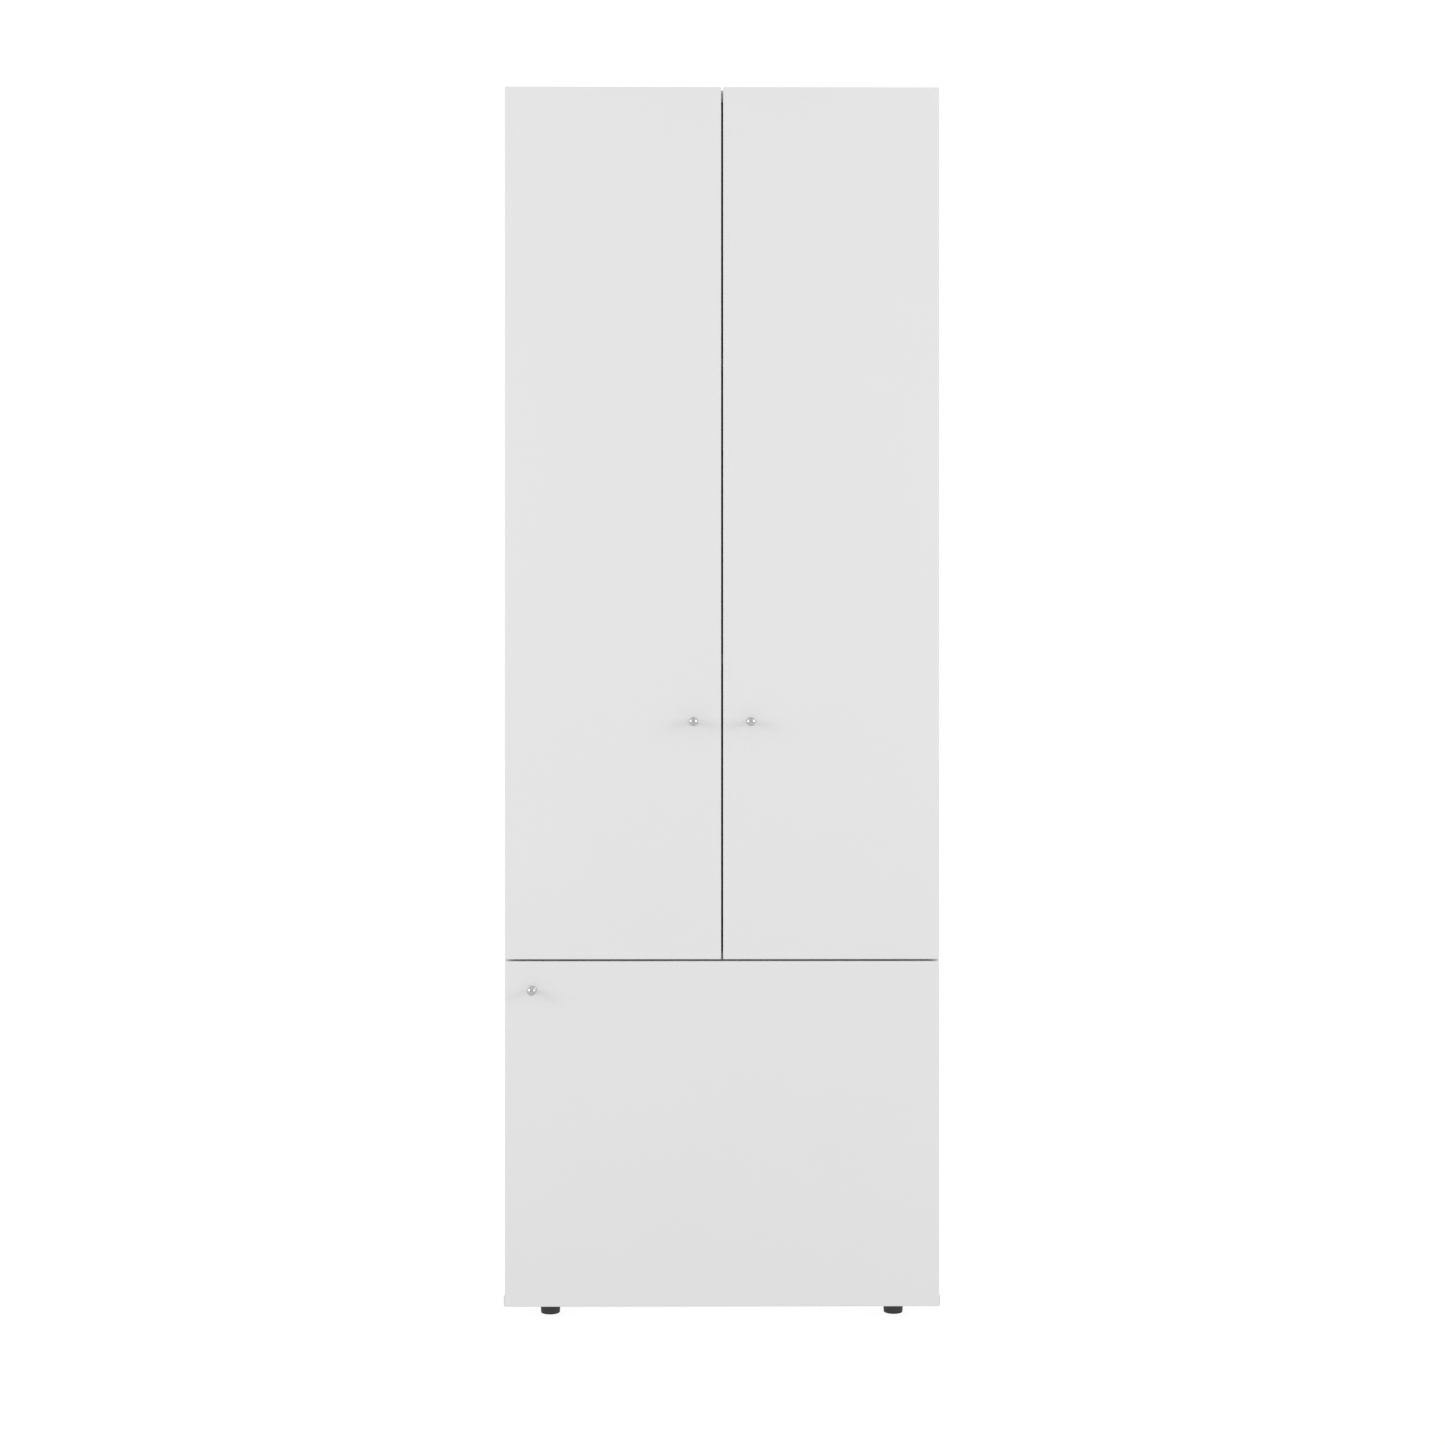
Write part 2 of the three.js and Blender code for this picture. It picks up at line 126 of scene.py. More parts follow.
class Solid:
    """A closed mesh under construction, in millimetres."""

    def __init__(self, mesh: bmesh.types.BMesh | None = None) -> None:
        """Starts from a mesh, or from nothing."""
        self.mesh = mesh or bmesh.new()

    @classmethod
    def board(cls, low: Sequence[float], high: Sequence[float], edge: float, steps: int = 3) -> Solid:
        """A flat board or block with all its edges rounded.

        Args:
            low: Its lowest corner.
            high: Its highest corner.
            edge: Radius of its edges, or 0 for sharp ones.
            steps: Facets across a rounded edge.

        Returns:
            The board.
        """
        solid = cls()
        bmesh.ops.create_cube(solid.mesh, size=1.0)
        middle = [(a + b) / 2 for a, b in zip(low, high)]
        size = [b - a for a, b in zip(low, high)]
        place = Matrix.Translation(middle) @ Matrix.Diagonal((*size, 1.0))
        bmesh.ops.transform(solid.mesh, matrix=place, verts=solid.mesh.verts)
        if edge > 0:
            solid.round_edges(edge, steps)
        return solid

    @classmethod
    def turned(cls, profile: Sequence[Pair], sides: int = 48, axis: Axis = Axis.Z) -> Solid:
        """A piece turned on a lathe.

        Args:
            profile: Pairs of radius and reach along the axis, from the axis back to the axis.
            sides: Facets round it.
            axis: The direction that the reach runs in.

        Returns:
            The turned piece, with its axis through the origin.
        """
        solid = cls()
        mesh = solid.mesh
        rings: list[list[bmesh.types.BMVert]] = []
        for radius, reach in profile:
            if radius < ON_AXIS:
                rings.append([mesh.verts.new((0.0, 0.0, reach))])
                continue
            turns = [2 * math.pi * i / sides for i in range(sides)]
            ring = [(radius * math.cos(turn), radius * math.sin(turn), reach) for turn in turns]
            rings.append([mesh.verts.new(corner) for corner in ring])
        for lower, upper in zip(rings, rings[1:]):
            for i in range(sides):
                j = (i + 1) % sides
                steps = ((lower, i), (lower, j), (upper, j), (upper, i))
                corners = [ring[k % len(ring)] for ring, k in steps]
                mesh.faces.new(list(dict.fromkeys(corners)))
        bmesh.ops.recalc_face_normals(mesh, faces=mesh.faces)
        return solid.placed(axis.value)

    @classmethod
    def rod(cls, radius: float, low: float, high: float, sides: int, axis: Axis = Axis.Z) -> Solid:
        """A plain round bar from low to high along an axis, to drill with."""
        return cls.turned([(0.0, low), (radius, low), (radius, high), (0.0, high)], sides, axis)

    @classmethod
    def raised(cls, outline: Sequence[Pair], low: float, high: float, axis: Axis = Axis.Z) -> Solid:
        """A flat outline raised into a solid.

        Args:
            outline: Corners of the outline, in order. For axis X they are pairs of y and z, for
                axis Y pairs of x and z, for axis Z pairs of x and y.
            low: Where the solid starts along the axis.
            high: Where it ends.
            axis: The direction it is raised in.

        Returns:
            The raised solid.
        """
        solid = cls()

        def place(u: float, v: float, w: float) -> Point:
            """The corner (u, v) of the outline at height w."""
            return {Axis.X: (w, u, v), Axis.Y: (u, w, v), Axis.Z: (u, v, w)}[axis]

        bottom = [solid.mesh.verts.new(place(u, v, low)) for u, v in outline]
        top = [solid.mesh.verts.new(place(u, v, high)) for u, v in outline]
        solid.mesh.faces.new(bottom)
        solid.mesh.faces.new(top)
        for i, start in enumerate(bottom):
            j = (i + 1) % len(bottom)
            solid.mesh.faces.new((start, bottom[j], top[j], top[i]))
        bmesh.ops.recalc_face_normals(solid.mesh, faces=solid.mesh.faces)
        return solid

    def round_edges(self, radius: float, steps: int = 2, over: float = 60.0) -> Solid:
        """Rounds every edge that turns by more than `over` degrees.

        Args:
            radius: Radius of the rounding.
            steps: Facets across it.
            over: Smallest turn that counts as an edge, in degrees.

        Returns:
            This solid.
        """
        limit = math.radians(over)
        edges = [e for e in self.mesh.edges if e.is_manifold and e.calc_face_angle(0.0) > limit]
        bmesh.ops.bevel(
            self.mesh,
            geom=edges,
            offset=radius,
            segments=steps,
            profile=0.5,
            affect="EDGES",
            clamp_overlap=True,
        )
        return self

    def placed(self, where: Matrix | Sequence[float]) -> Solid:
        """Moves this solid.

        Args:
            where: A matrix, or an offset in millimetres.

        Returns:
            This solid.
        """
        matrix = where if isinstance(where, Matrix) else Matrix.Translation(where)
        bmesh.ops.transform(self.mesh, matrix=matrix, verts=self.mesh.verts)
        if matrix.determinant() < 0:
            bmesh.ops.reverse_faces(self.mesh, faces=self.mesh.faces)
        return self

    def copy(self) -> Solid:
        """A second solid of the same shape."""
        return Solid(self.mesh.copy())

    def beside(self, *others: Solid) -> Solid:
        """Puts other solids into this mesh as they are.

        Args:
            others: The solids to put in.

        Returns:
            This solid.
        """
        for other in others:
            spare = bpy.data.meshes.new("spare")
            other.mesh.to_mesh(spare)
            self.mesh.from_mesh(spare)
            bpy.data.meshes.remove(spare)
        return self

    def _combined(self, other: Solid, operation: str) -> Solid:
        """This solid joined with or cut by another one.

        Args:
            other: The other solid.
            operation: UNION or DIFFERENCE.

        Returns:
            The result, as a new solid.
        """
        objects = []
        for name, solid in (("host", self), ("tool", other)):
            mesh = bpy.data.meshes.new(name)
            solid.mesh.to_mesh(mesh)
            objects.append(bpy.data.objects.new(name, mesh))
            bpy.context.scene.collection.objects.link(objects[-1])
        host, tool = objects
        step = host.modifiers.new("combine", "BOOLEAN")
        step.operation = operation
        step.object = tool
        step.solver = "EXACT"
        ready = bpy.data.meshes.new_from_object(host.evaluated_get(bpy.context.evaluated_depsgraph_get()))
        result = bmesh.new()
        result.from_mesh(ready)
        bpy.data.meshes.remove(ready)
        for item in objects:
            mesh = item.data
            bpy.data.objects.remove(item)
            bpy.data.meshes.remove(mesh)
        return Solid(result)

    def joined(self, other: Solid) -> Solid:
        """This solid and another as one body."""
        return self._combined(other, "UNION")

    def cut(self, other: Solid) -> Solid:
        """This solid without the space of another."""
        return self._combined(other, "DIFFERENCE")

    def show_core(self, skin: float = 1.0) -> None:
        """Gives the faces that lie deeper in the board than its skin the second finish.

        Args:
            skin: Thickness of the board's facing, in millimetres.
        """
        corners = [Vector(vert.co) for vert in self.mesh.verts]
        low, high = Vector(map(min, *corners)), Vector(map(max, *corners))
        for face in self.mesh.faces:
            middle = face.calc_center_median()
            depth = min(min(c - a, b - c) for a, b, c in zip(low, high, middle))
            face.material_index = 1 if depth > skin else 0

    def piece(
        self,
        name: str,
        finish: Finish,
        body: str,
        stands_for: Sequence[str] = (),
        core: Finish | None = None,
    ) -> bpy.types.Object:
        """Makes the solid a piece of the object.

        Args:
            name: The piece's name.
            finish: Its finish.
            body: The moving body that it rides on.
            stands_for: Nodes of the frame that it replaces.
            core: What shows where the board is drilled or grooved.

        Returns:
            The piece.
        """
        bmesh.ops.remove_doubles(self.mesh, verts=self.mesh.verts, dist=WELD)
        if core:
            self.show_core()
        bmesh.ops.scale(self.mesh, vec=(MM, MM, MM), verts=self.mesh.verts)
        data = bpy.data.meshes.new(name)
        self.mesh.to_mesh(data)
        self.mesh.free()
        data.polygons.foreach_set("use_smooth", [True] * len(data.polygons))
        data.set_sharp_from_angle(angle=math.radians(CREASE))
        item = bpy.data.objects.new(name, data)
        bpy.context.scene.collection.objects.link(item)
        even = item.modifiers.new("even_normals", "WEIGHTED_NORMAL")
        even.keep_sharp = True
        for layer in (finish, core):
            if layer:
                data.materials.append(layer.material())
        log.info("piece %s, %d faces, on %s", name, len(data.polygons), body)
        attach(item, body)
        if stands_for:
            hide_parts(*stands_for)
        return item


def box_mm(node: str) -> tuple[Vector, Vector]:
    """The lowest and highest corner of a node of the frame, in millimetres."""
    low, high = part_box(node)
    return low / MM, high / MM


def middle_mm(node: str) -> Vector:
    """The middle of a node of the frame, in millimetres."""
    low, high = box_mm(node)
    return (low + high) / 2


def inner_face(side: Side) -> float:
    """The x of a side panel's inner face, in millimetres."""
    low, high = box_mm(f"side_panel_{side.word}")
    return high.x if side is Side.LEFT else low.x


# ---- shared surface effects -----------------------------------------------------------------------


class Graph:
    """A node tree with short calls to add and link its nodes."""

    def __init__(self, tree: bpy.types.NodeTree) -> None:
        """Wraps a tree and empties it."""
        self.tree = tree
        tree.nodes.clear()

    def add(self, kind: str, inputs: dict[str, object] | None = None, **settings: object) -> bpy.types.Node:
        """Adds a node.

        Args:
            kind: The node's type.
            inputs: Values or output sockets for its inputs, by name.
            settings: Its own settings.

        Returns:
            The node.
        """
        node = self.tree.nodes.new(kind)
        for name, value in settings.items():
            setattr(node, name, value)
        for name, value in (inputs or {}).items():
            socket = node.inputs[name]
            if isinstance(value, bpy.types.NodeSocket):
                self.tree.links.new(value, socket)
            else:
                socket.default_value = value
        return node

    def math(self, operation: str, first: object, second: object) -> bpy.types.NodeSocket:
        """Adds an arithmetic node.

        Args:
            operation: What it does.
            first: Its first value or socket.
            second: Its second value or socket.

        Returns:
            The socket with the result.
        """
        node = self.tree.nodes.new("ShaderNodeMath")
        node.operation = operation
        for socket, value in zip(node.inputs, (first, second)):
            if isinstance(value, bpy.types.NodeSocket):
                self.tree.links.new(value, socket)
            else:
                socket.default_value = value
        return node.outputs[0]

    def spread(self, value: bpy.types.NodeSocket, low: float, high: float) -> bpy.types.NodeSocket:
        """A varying value from 0 to 1, spread between two limits."""
        inputs = {"Value": value, "To Min": low, "To Max": high}
        return self.add("ShaderNodeMapRange", inputs).outputs["Result"]

    def noise(
        self, place: bpy.types.NodeSocket, scale: object, detail: float, roughness: float = 0.5
    ) -> bpy.types.NodeSocket:
        """The value of a noise texture at a place."""
        inputs = {"Vector": place, "Scale": scale, "Detail": detail, "Roughness": roughness}
        return self.add("ShaderNodeTexNoise", inputs).outputs["Fac"]


class SurfaceEffect:
    """A shader node group that more than one finish uses."""

    _made: dict[str, bpy.types.NodeTree] = {}

    def __init__(self, name: str, inputs: Sequence[tuple[str, float]], outputs: Sequence[str]) -> None:
        """Names the effect and its sockets.

        Args:
            name: The node group's name.
            inputs: Name and value of each input.
            outputs: Names of the outputs.
        """
        self.name = name
        self.inputs = inputs
        self.outputs = outputs

    def tree(self) -> bpy.types.NodeTree:
        """The node group, made the first time it is asked for.

        Returns:
            The group's node tree.
        """
        if self.name not in self._made:
            tree = bpy.data.node_groups.new(self.name, "ShaderNodeTree")
            for name, value in self.inputs:
                socket = tree.interface.new_socket(name, in_out="INPUT", socket_type="NodeSocketFloat")
                socket.default_value = value
            for name in self.outputs:
                tree.interface.new_socket(name, in_out="OUTPUT", socket_type="NodeSocketFloat")
            graph = Graph(tree)
            given = graph.add("NodeGroupInput")
            results = self.draw(graph, given.outputs)
            graph.add("NodeGroupOutput", dict(zip(self.outputs, results)))
            self._made[self.name] = tree
        return self._made[self.name]

    def draw(self, graph: Graph, given: object) -> Sequence[bpy.types.NodeSocket]:
        """Draws the group's nodes and returns its results, one for each output."""
        raise NotImplementedError

    def on(self, graph: Graph, **values: float) -> bpy.types.Node:
        """Places the effect in a material.

        Args:
            graph: The material's tree.
            values: Values for the effect's inputs, by name.

        Returns:
            The group node.
        """
        node = graph.add("ShaderNodeGroup", node_tree=self.tree())
        for name, value in values.items():
            node.inputs[name].default_value = value
        return node


class FineGrain(SurfaceEffect):
    """The fine pebble of a moulded, sprayed or pressed surface, with a little broad waviness."""

    def __init__(self) -> None:
        """Grain is the number of pebbles in a metre; Wave is the number of waves."""
        inputs = [("Grain", 900.0), ("Wave", 8.0), ("Wave Share", 0.3)]
        super().__init__("fine_grain", inputs, ["Height", "Cloud"])

    def draw(self, graph: Graph, given: object) -> Sequence[bpy.types.NodeSocket]:
        """Mixes a fine and a broad noise.

        Args:
            graph: The group's tree.
            given: The group's inputs.

        Returns:
            The height and the cloud.
        """
        place = graph.add("ShaderNodeTexCoord").outputs["Object"]
        fine = graph.noise(place, given["Grain"], detail=2.0, roughness=0.55)
        broad = graph.noise(place, given["Wave"], detail=3.0)
        share = graph.math("MULTIPLY", broad, given["Wave Share"])
        return graph.math("ADD", fine, share), broad


class SettledDust(SurfaceEffect):
    """Thin dust on the faces that look up, in soft patches."""

    def __init__(self) -> None:
        """Amount is the thickest cover, from 0 to 1."""
        super().__init__("settled_dust", [("Amount", 0.3)], ["Mask"])

    def draw(self, graph: Graph, given: object) -> Sequence[bpy.types.NodeSocket]:
        """Multiplies how far a face looks up by a patchy noise.

        Args:
            graph: The group's tree.
            given: The group's inputs.

        Returns:
            The mask.
        """
        normal = graph.add("ShaderNodeNewGeometry").outputs["Normal"]
        up = graph.add("ShaderNodeSeparateXYZ", {"Vector": normal}).outputs["Z"]
        level = {"Value": up, "From Min": 0.6, "From Max": 1.0}
        upward = graph.add("ShaderNodeMapRange", level).outputs["Result"]
        place = graph.add("ShaderNodeTexCoord").outputs["Object"]
        patches = graph.noise(place, 14.0, detail=6.0, roughness=0.7)
        return (graph.math("MULTIPLY", graph.math("MULTIPLY", upward, patches), given["Amount"]),)


class DrawnLines(SurfaceEffect):
    """Fine lines left on metal by rolling, turning or polishing."""

    def __init__(self) -> None:
        """Lines is the number of lines in a metre."""
        super().__init__("drawn_lines", [("Lines", 2500.0)], ["Streak", "Stain"])

    def draw(self, graph: Graph, given: object) -> Sequence[bpy.types.NodeSocket]:
        """Stretches one noise along z, and adds a cloudy one for the plating's tone.

        Args:
            graph: The group's tree.
            given: The group's inputs.

        Returns:
            The streak and the stain.
        """
        place = graph.add("ShaderNodeTexCoord").outputs["Object"]
        drawn = {"Vector": place, "Scale": (1.0, 1.0, 0.03)}
        long = graph.add("ShaderNodeMapping", drawn).outputs["Vector"]
        lines = graph.noise(long, given["Lines"], detail=2.0, roughness=0.6)
        stain = graph.noise(place, 90.0, detail=4.0)
        return lines, stain


FINE_GRAIN = FineGrain()
SETTLED_DUST = SettledDust()
DRAWN_LINES = DrawnLines()


# ---- finishes -------------------------------------------------------------------------------------


@dataclass(frozen=True)
class Finish:
    """What a surface is made of: one material, made the first time it is asked for."""

    name: str
    slot: str
    colour: Point
    roughness: float

    def material(self) -> bpy.types.Material:
        """The finish as a material.

        Returns:
            The material, made the first time it is asked for.
        """
        ready = bpy.data.materials.get(self.name)
        if ready:
            return ready
        material = bpy.data.materials.new(self.name)
        material.use_nodes = True
        graph = Graph(material.node_tree)
        shader = graph.add("ShaderNodeBsdfPrincipled", {"Base Color": (*self.colour, 1.0)})
        shader.inputs["Roughness"].default_value = self.roughness
        self.dress(graph, shader)
        graph.add("ShaderNodeOutputMaterial", {"Surface": shader.outputs["BSDF"]})
        material.diffuse_color = (*self.colour, 1.0)
        return material

    def dress(self, graph: Graph, shader: bpy.types.Node) -> None:
        """Adds the finish's own detail to the shader."""
        raise NotImplementedError

    def _tone(
        self, graph: Graph, shader: bpy.types.Node, value: bpy.types.NodeSocket, dark: float
    ) -> None:
        """Lets the colour vary with a value.

        Args:
            graph: The material's tree.
            shader: The material's shader.
            value: A socket that goes from 0 to 1.
            dark: The colour at 0, as a share of the colour at 1.
        """
        low = tuple(c * dark for c in self.colour)
        mix = graph.add("ShaderNodeMix", data_type="RGBA")
        graph.tree.links.new(value, mix.inputs["Factor"])
        mix.inputs["A"].default_value = (*low, 1.0)
        mix.inputs["B"].default_value = (*self.colour, 1.0)
        graph.tree.links.new(mix.outputs["Result"], shader.inputs["Base Color"])

    def _relief(
        self, graph: Graph, shader: bpy.types.Node, height: bpy.types.NodeSocket, depth: float
    ) -> None:
        """Raises the surface by a varying height.

        Args:
            graph: The material's tree.
            shader: The material's shader.
            height: A socket that varies with the height.
            depth: How deep the relief is, in millimetres, or 0 for none.
        """
        if depth <= 0:
            return
        bump = graph.add("ShaderNodeBump", {"Height": height, "Distance": depth * MM, "Strength": 1.0})
        graph.tree.links.new(bump.outputs["Normal"], shader.inputs["Normal"])


@dataclass(frozen=True)
class FacedBoard(Finish):
    """White faced board: a fine pressed texture, an even tone, and dust where it looks up."""

    grain: float = 900.0
    depth: float = 0.006
    tone: float = 0.985
    dust: float = 0.0
    gloss_swing: float = 0.06

    def dress(self, graph: Graph, shader: bpy.types.Node) -> None:
        """Presses the texture in, and lets the dust dull the colour and the gloss.

        Args:
            graph: The material's tree.
            shader: The material's shader.
        """
        texture = FINE_GRAIN.on(graph, Grain=self.grain, Wave=5.0)
        self._relief(graph, shader, texture.outputs["Height"], self.depth)
        low, high = self.roughness - self.gloss_swing, self.roughness + self.gloss_swing
        gloss = graph.spread(texture.outputs["Height"], low, high)
        if self.dust <= 0:
            self._tone(graph, shader, texture.outputs["Cloud"], self.tone)
            graph.tree.links.new(gloss, shader.inputs["Roughness"])
            return
        cover = SETTLED_DUST.on(graph, Amount=self.dust).outputs["Mask"]
        clean = graph.math("SUBTRACT", texture.outputs["Cloud"], cover)
        self._tone(graph, shader, clean, self.tone)
        graph.tree.links.new(graph.math("ADD", gloss, cover), shader.inputs["Roughness"])


@dataclass(frozen=True)
class PressedChips(Finish):
    """The raw core of a board, where a bit or a saw went through the chips."""

    chips: float = 420.0
    depth: float = 0.25
    tone: float = 0.45

    def dress(self, graph: Graph, shader: bpy.types.Node) -> None:
        """Varies the tone from chip to chip and roughens the cut.

        Args:
            graph: The material's tree.
            shader: The material's shader.
        """
        texture = FINE_GRAIN.on(graph, Grain=self.chips, Wave=150.0)
        self._tone(graph, shader, texture.outputs["Cloud"], self.tone)
        self._relief(graph, shader, texture.outputs["Height"], self.depth)


@dataclass(frozen=True)
class PlatedMetal(Finish):
    """Plated metal, with the lines of its making and a faint cloud in the plating."""

    lines: float = 2500.0
    depth: float = 0.0015
    tone: float = 0.9
    gloss_swing: float = 0.03

    def dress(self, graph: Graph, shader: bpy.types.Node) -> None:
        """Makes the shader metal and lays the lines on it.

        Args:
            graph: The material's tree.
            shader: The material's shader.
        """
        shader.inputs["Metallic"].default_value = 1.0
        made = DRAWN_LINES.on(graph, Lines=self.lines)
        self._tone(graph, shader, made.outputs["Stain"], self.tone)
        self._relief(graph, shader, made.outputs["Streak"], self.depth)
        low, high = self.roughness - self.gloss_swing, self.roughness + self.gloss_swing
        graph.tree.links.new(graph.spread(made.outputs["Stain"], low, high), shader.inputs["Roughness"])


@dataclass(frozen=True)
class MouldedPlastic(Finish):
    """Moulded plastic with a spark-eroded grain."""

    grain: float = 2600.0
    depth: float = 0.02
    tone: float = 0.8
    dust: float = 0.15
    gloss_swing: float = 0.08

    def dress(self, graph: Graph, shader: bpy.types.Node) -> None:
        """Lays the grain on, with a little dust on top.

        Args:
            graph: The material's tree.
            shader: The material's shader.
        """
        texture = FINE_GRAIN.on(graph, Grain=self.grain, Wave=60.0)
        self._relief(graph, shader, texture.outputs["Height"], self.depth)
        cover = SETTLED_DUST.on(graph, Amount=self.dust).outputs["Mask"]
        self._tone(graph, shader, texture.outputs["Cloud"], self.tone)
        low, high = self.roughness - self.gloss_swing, self.roughness + self.gloss_swing
        gloss = graph.spread(texture.outputs["Height"], low, high)
        graph.tree.links.new(graph.math("ADD", gloss, cover), shader.inputs["Roughness"])


DOOR_WHITE = FacedBoard("door_white", "white_door", (0.82, 0.82, 0.82), 0.48, depth=0.004)
BOARD_WHITE = FacedBoard("board_white", "white_board", (0.79, 0.79, 0.787), 0.55, dust=0.25)
BACK_WHITE = FacedBoard(
    "back_white", "white_hardboard", (0.76, 0.76, 0.755), 0.62, grain=500.0, depth=0.02
)
CHIP_CORE = PressedChips("chip_core", "white_board", (0.46, 0.35, 0.24), 0.85)
CHROME = PlatedMetal(
    "polished_chrome", "knob_chrome", (0.60, 0.605, 0.61), 0.18, depth=0.0, tone=0.97
)
NICKEL = PlatedMetal("satin_nickel", "hinge_nickel", (0.62, 0.61, 0.59), 0.30)
PIN_STEEL = PlatedMetal("bright_steel", "hinge_pin_steel", (0.55, 0.55, 0.56), 0.25)
ZINC = PlatedMetal("bright_zinc", "shelf_pin_steel", (0.58, 0.59, 0.60), 0.34, tone=0.85)
FOOT_BLACK = MouldedPlastic("foot_black", "black_plastic", (0.045, 0.045, 0.046), 0.6)
BUMPER_CLEAR = MouldedPlastic(
    "bumper_silicone", "white_board", (0.62, 0.63, 0.63), 0.3, depth=0.002, dust=0.0, tone=0.95
)


# ---- small fixings --------------------------------------------------------------------------------


@dataclass(frozen=True)
class ScrewHead:
    """The head of a screw, with a cross recess. It stands on z = 0 and looks along +Z.

    The recess is given in shares of the radius, and the straight rim as a share of the height.
    """

    radius: float
    height: float
    recess: Pair = (0.55, 0.13)
    rim: float = 0.35
    sunk: float = 0.3

    def solid(self) -> Solid:
        """The head, a little domed, with its recess cut.

        Returns:
            The head.
        """
        radius, top = self.radius, self.height
        rim = top * self.rim
        profile = [
            (0.0, -self.sunk),
            (radius, -self.sunk),
            (radius, 0.0),
            (radius, rim),
            *((radius * math.cos(t), rim + (top - rim) * math.sin(t)) for t in (0.35, 0.7, 1.05, 1.35)),
            (0.0, top),
        ]
        head = Solid.turned(profile, 28)
        long, half = (radius * share for share in self.recess)
        cross = Solid.board((-long, -half, rim), (long, half, top + OVERRUN), 0.0)
        other = Solid.board((-half, -long, rim), (half, long, top + OVERRUN), 0.0)
        return head.cut(cross.joined(other))


@dataclass
class FixingSet:
    """Several copies of one fixing, put down together as one piece."""

    name: str
    fixing: Solid
    finish: Finish
    body: str

    def build(self, places: Sequence[Matrix]) -> bpy.types.Object:
        """Puts a copy at each place.

        Args:
            places: One matrix for each copy, in millimetres.

        Returns:
            The piece with all the copies.
        """
        whole = Solid()
        for place in places:
            whole.beside(self.fixing.copy().placed(place))
        return whole.piece(self.name, self.finish, self.body)


def facing(axis: Axis, sign: int, at: Sequence[float]) -> Matrix:
    """The matrix that turns +Z onto an axis, or against it, and moves to a place in millimetres."""
    flip = Matrix.Identity(4) if sign > 0 else Matrix.Rotation(math.pi, 4, "X")
    return Matrix.Translation(at) @ axis.value @ flip


# ---- carcass --------------------------------------------------------------------------------------


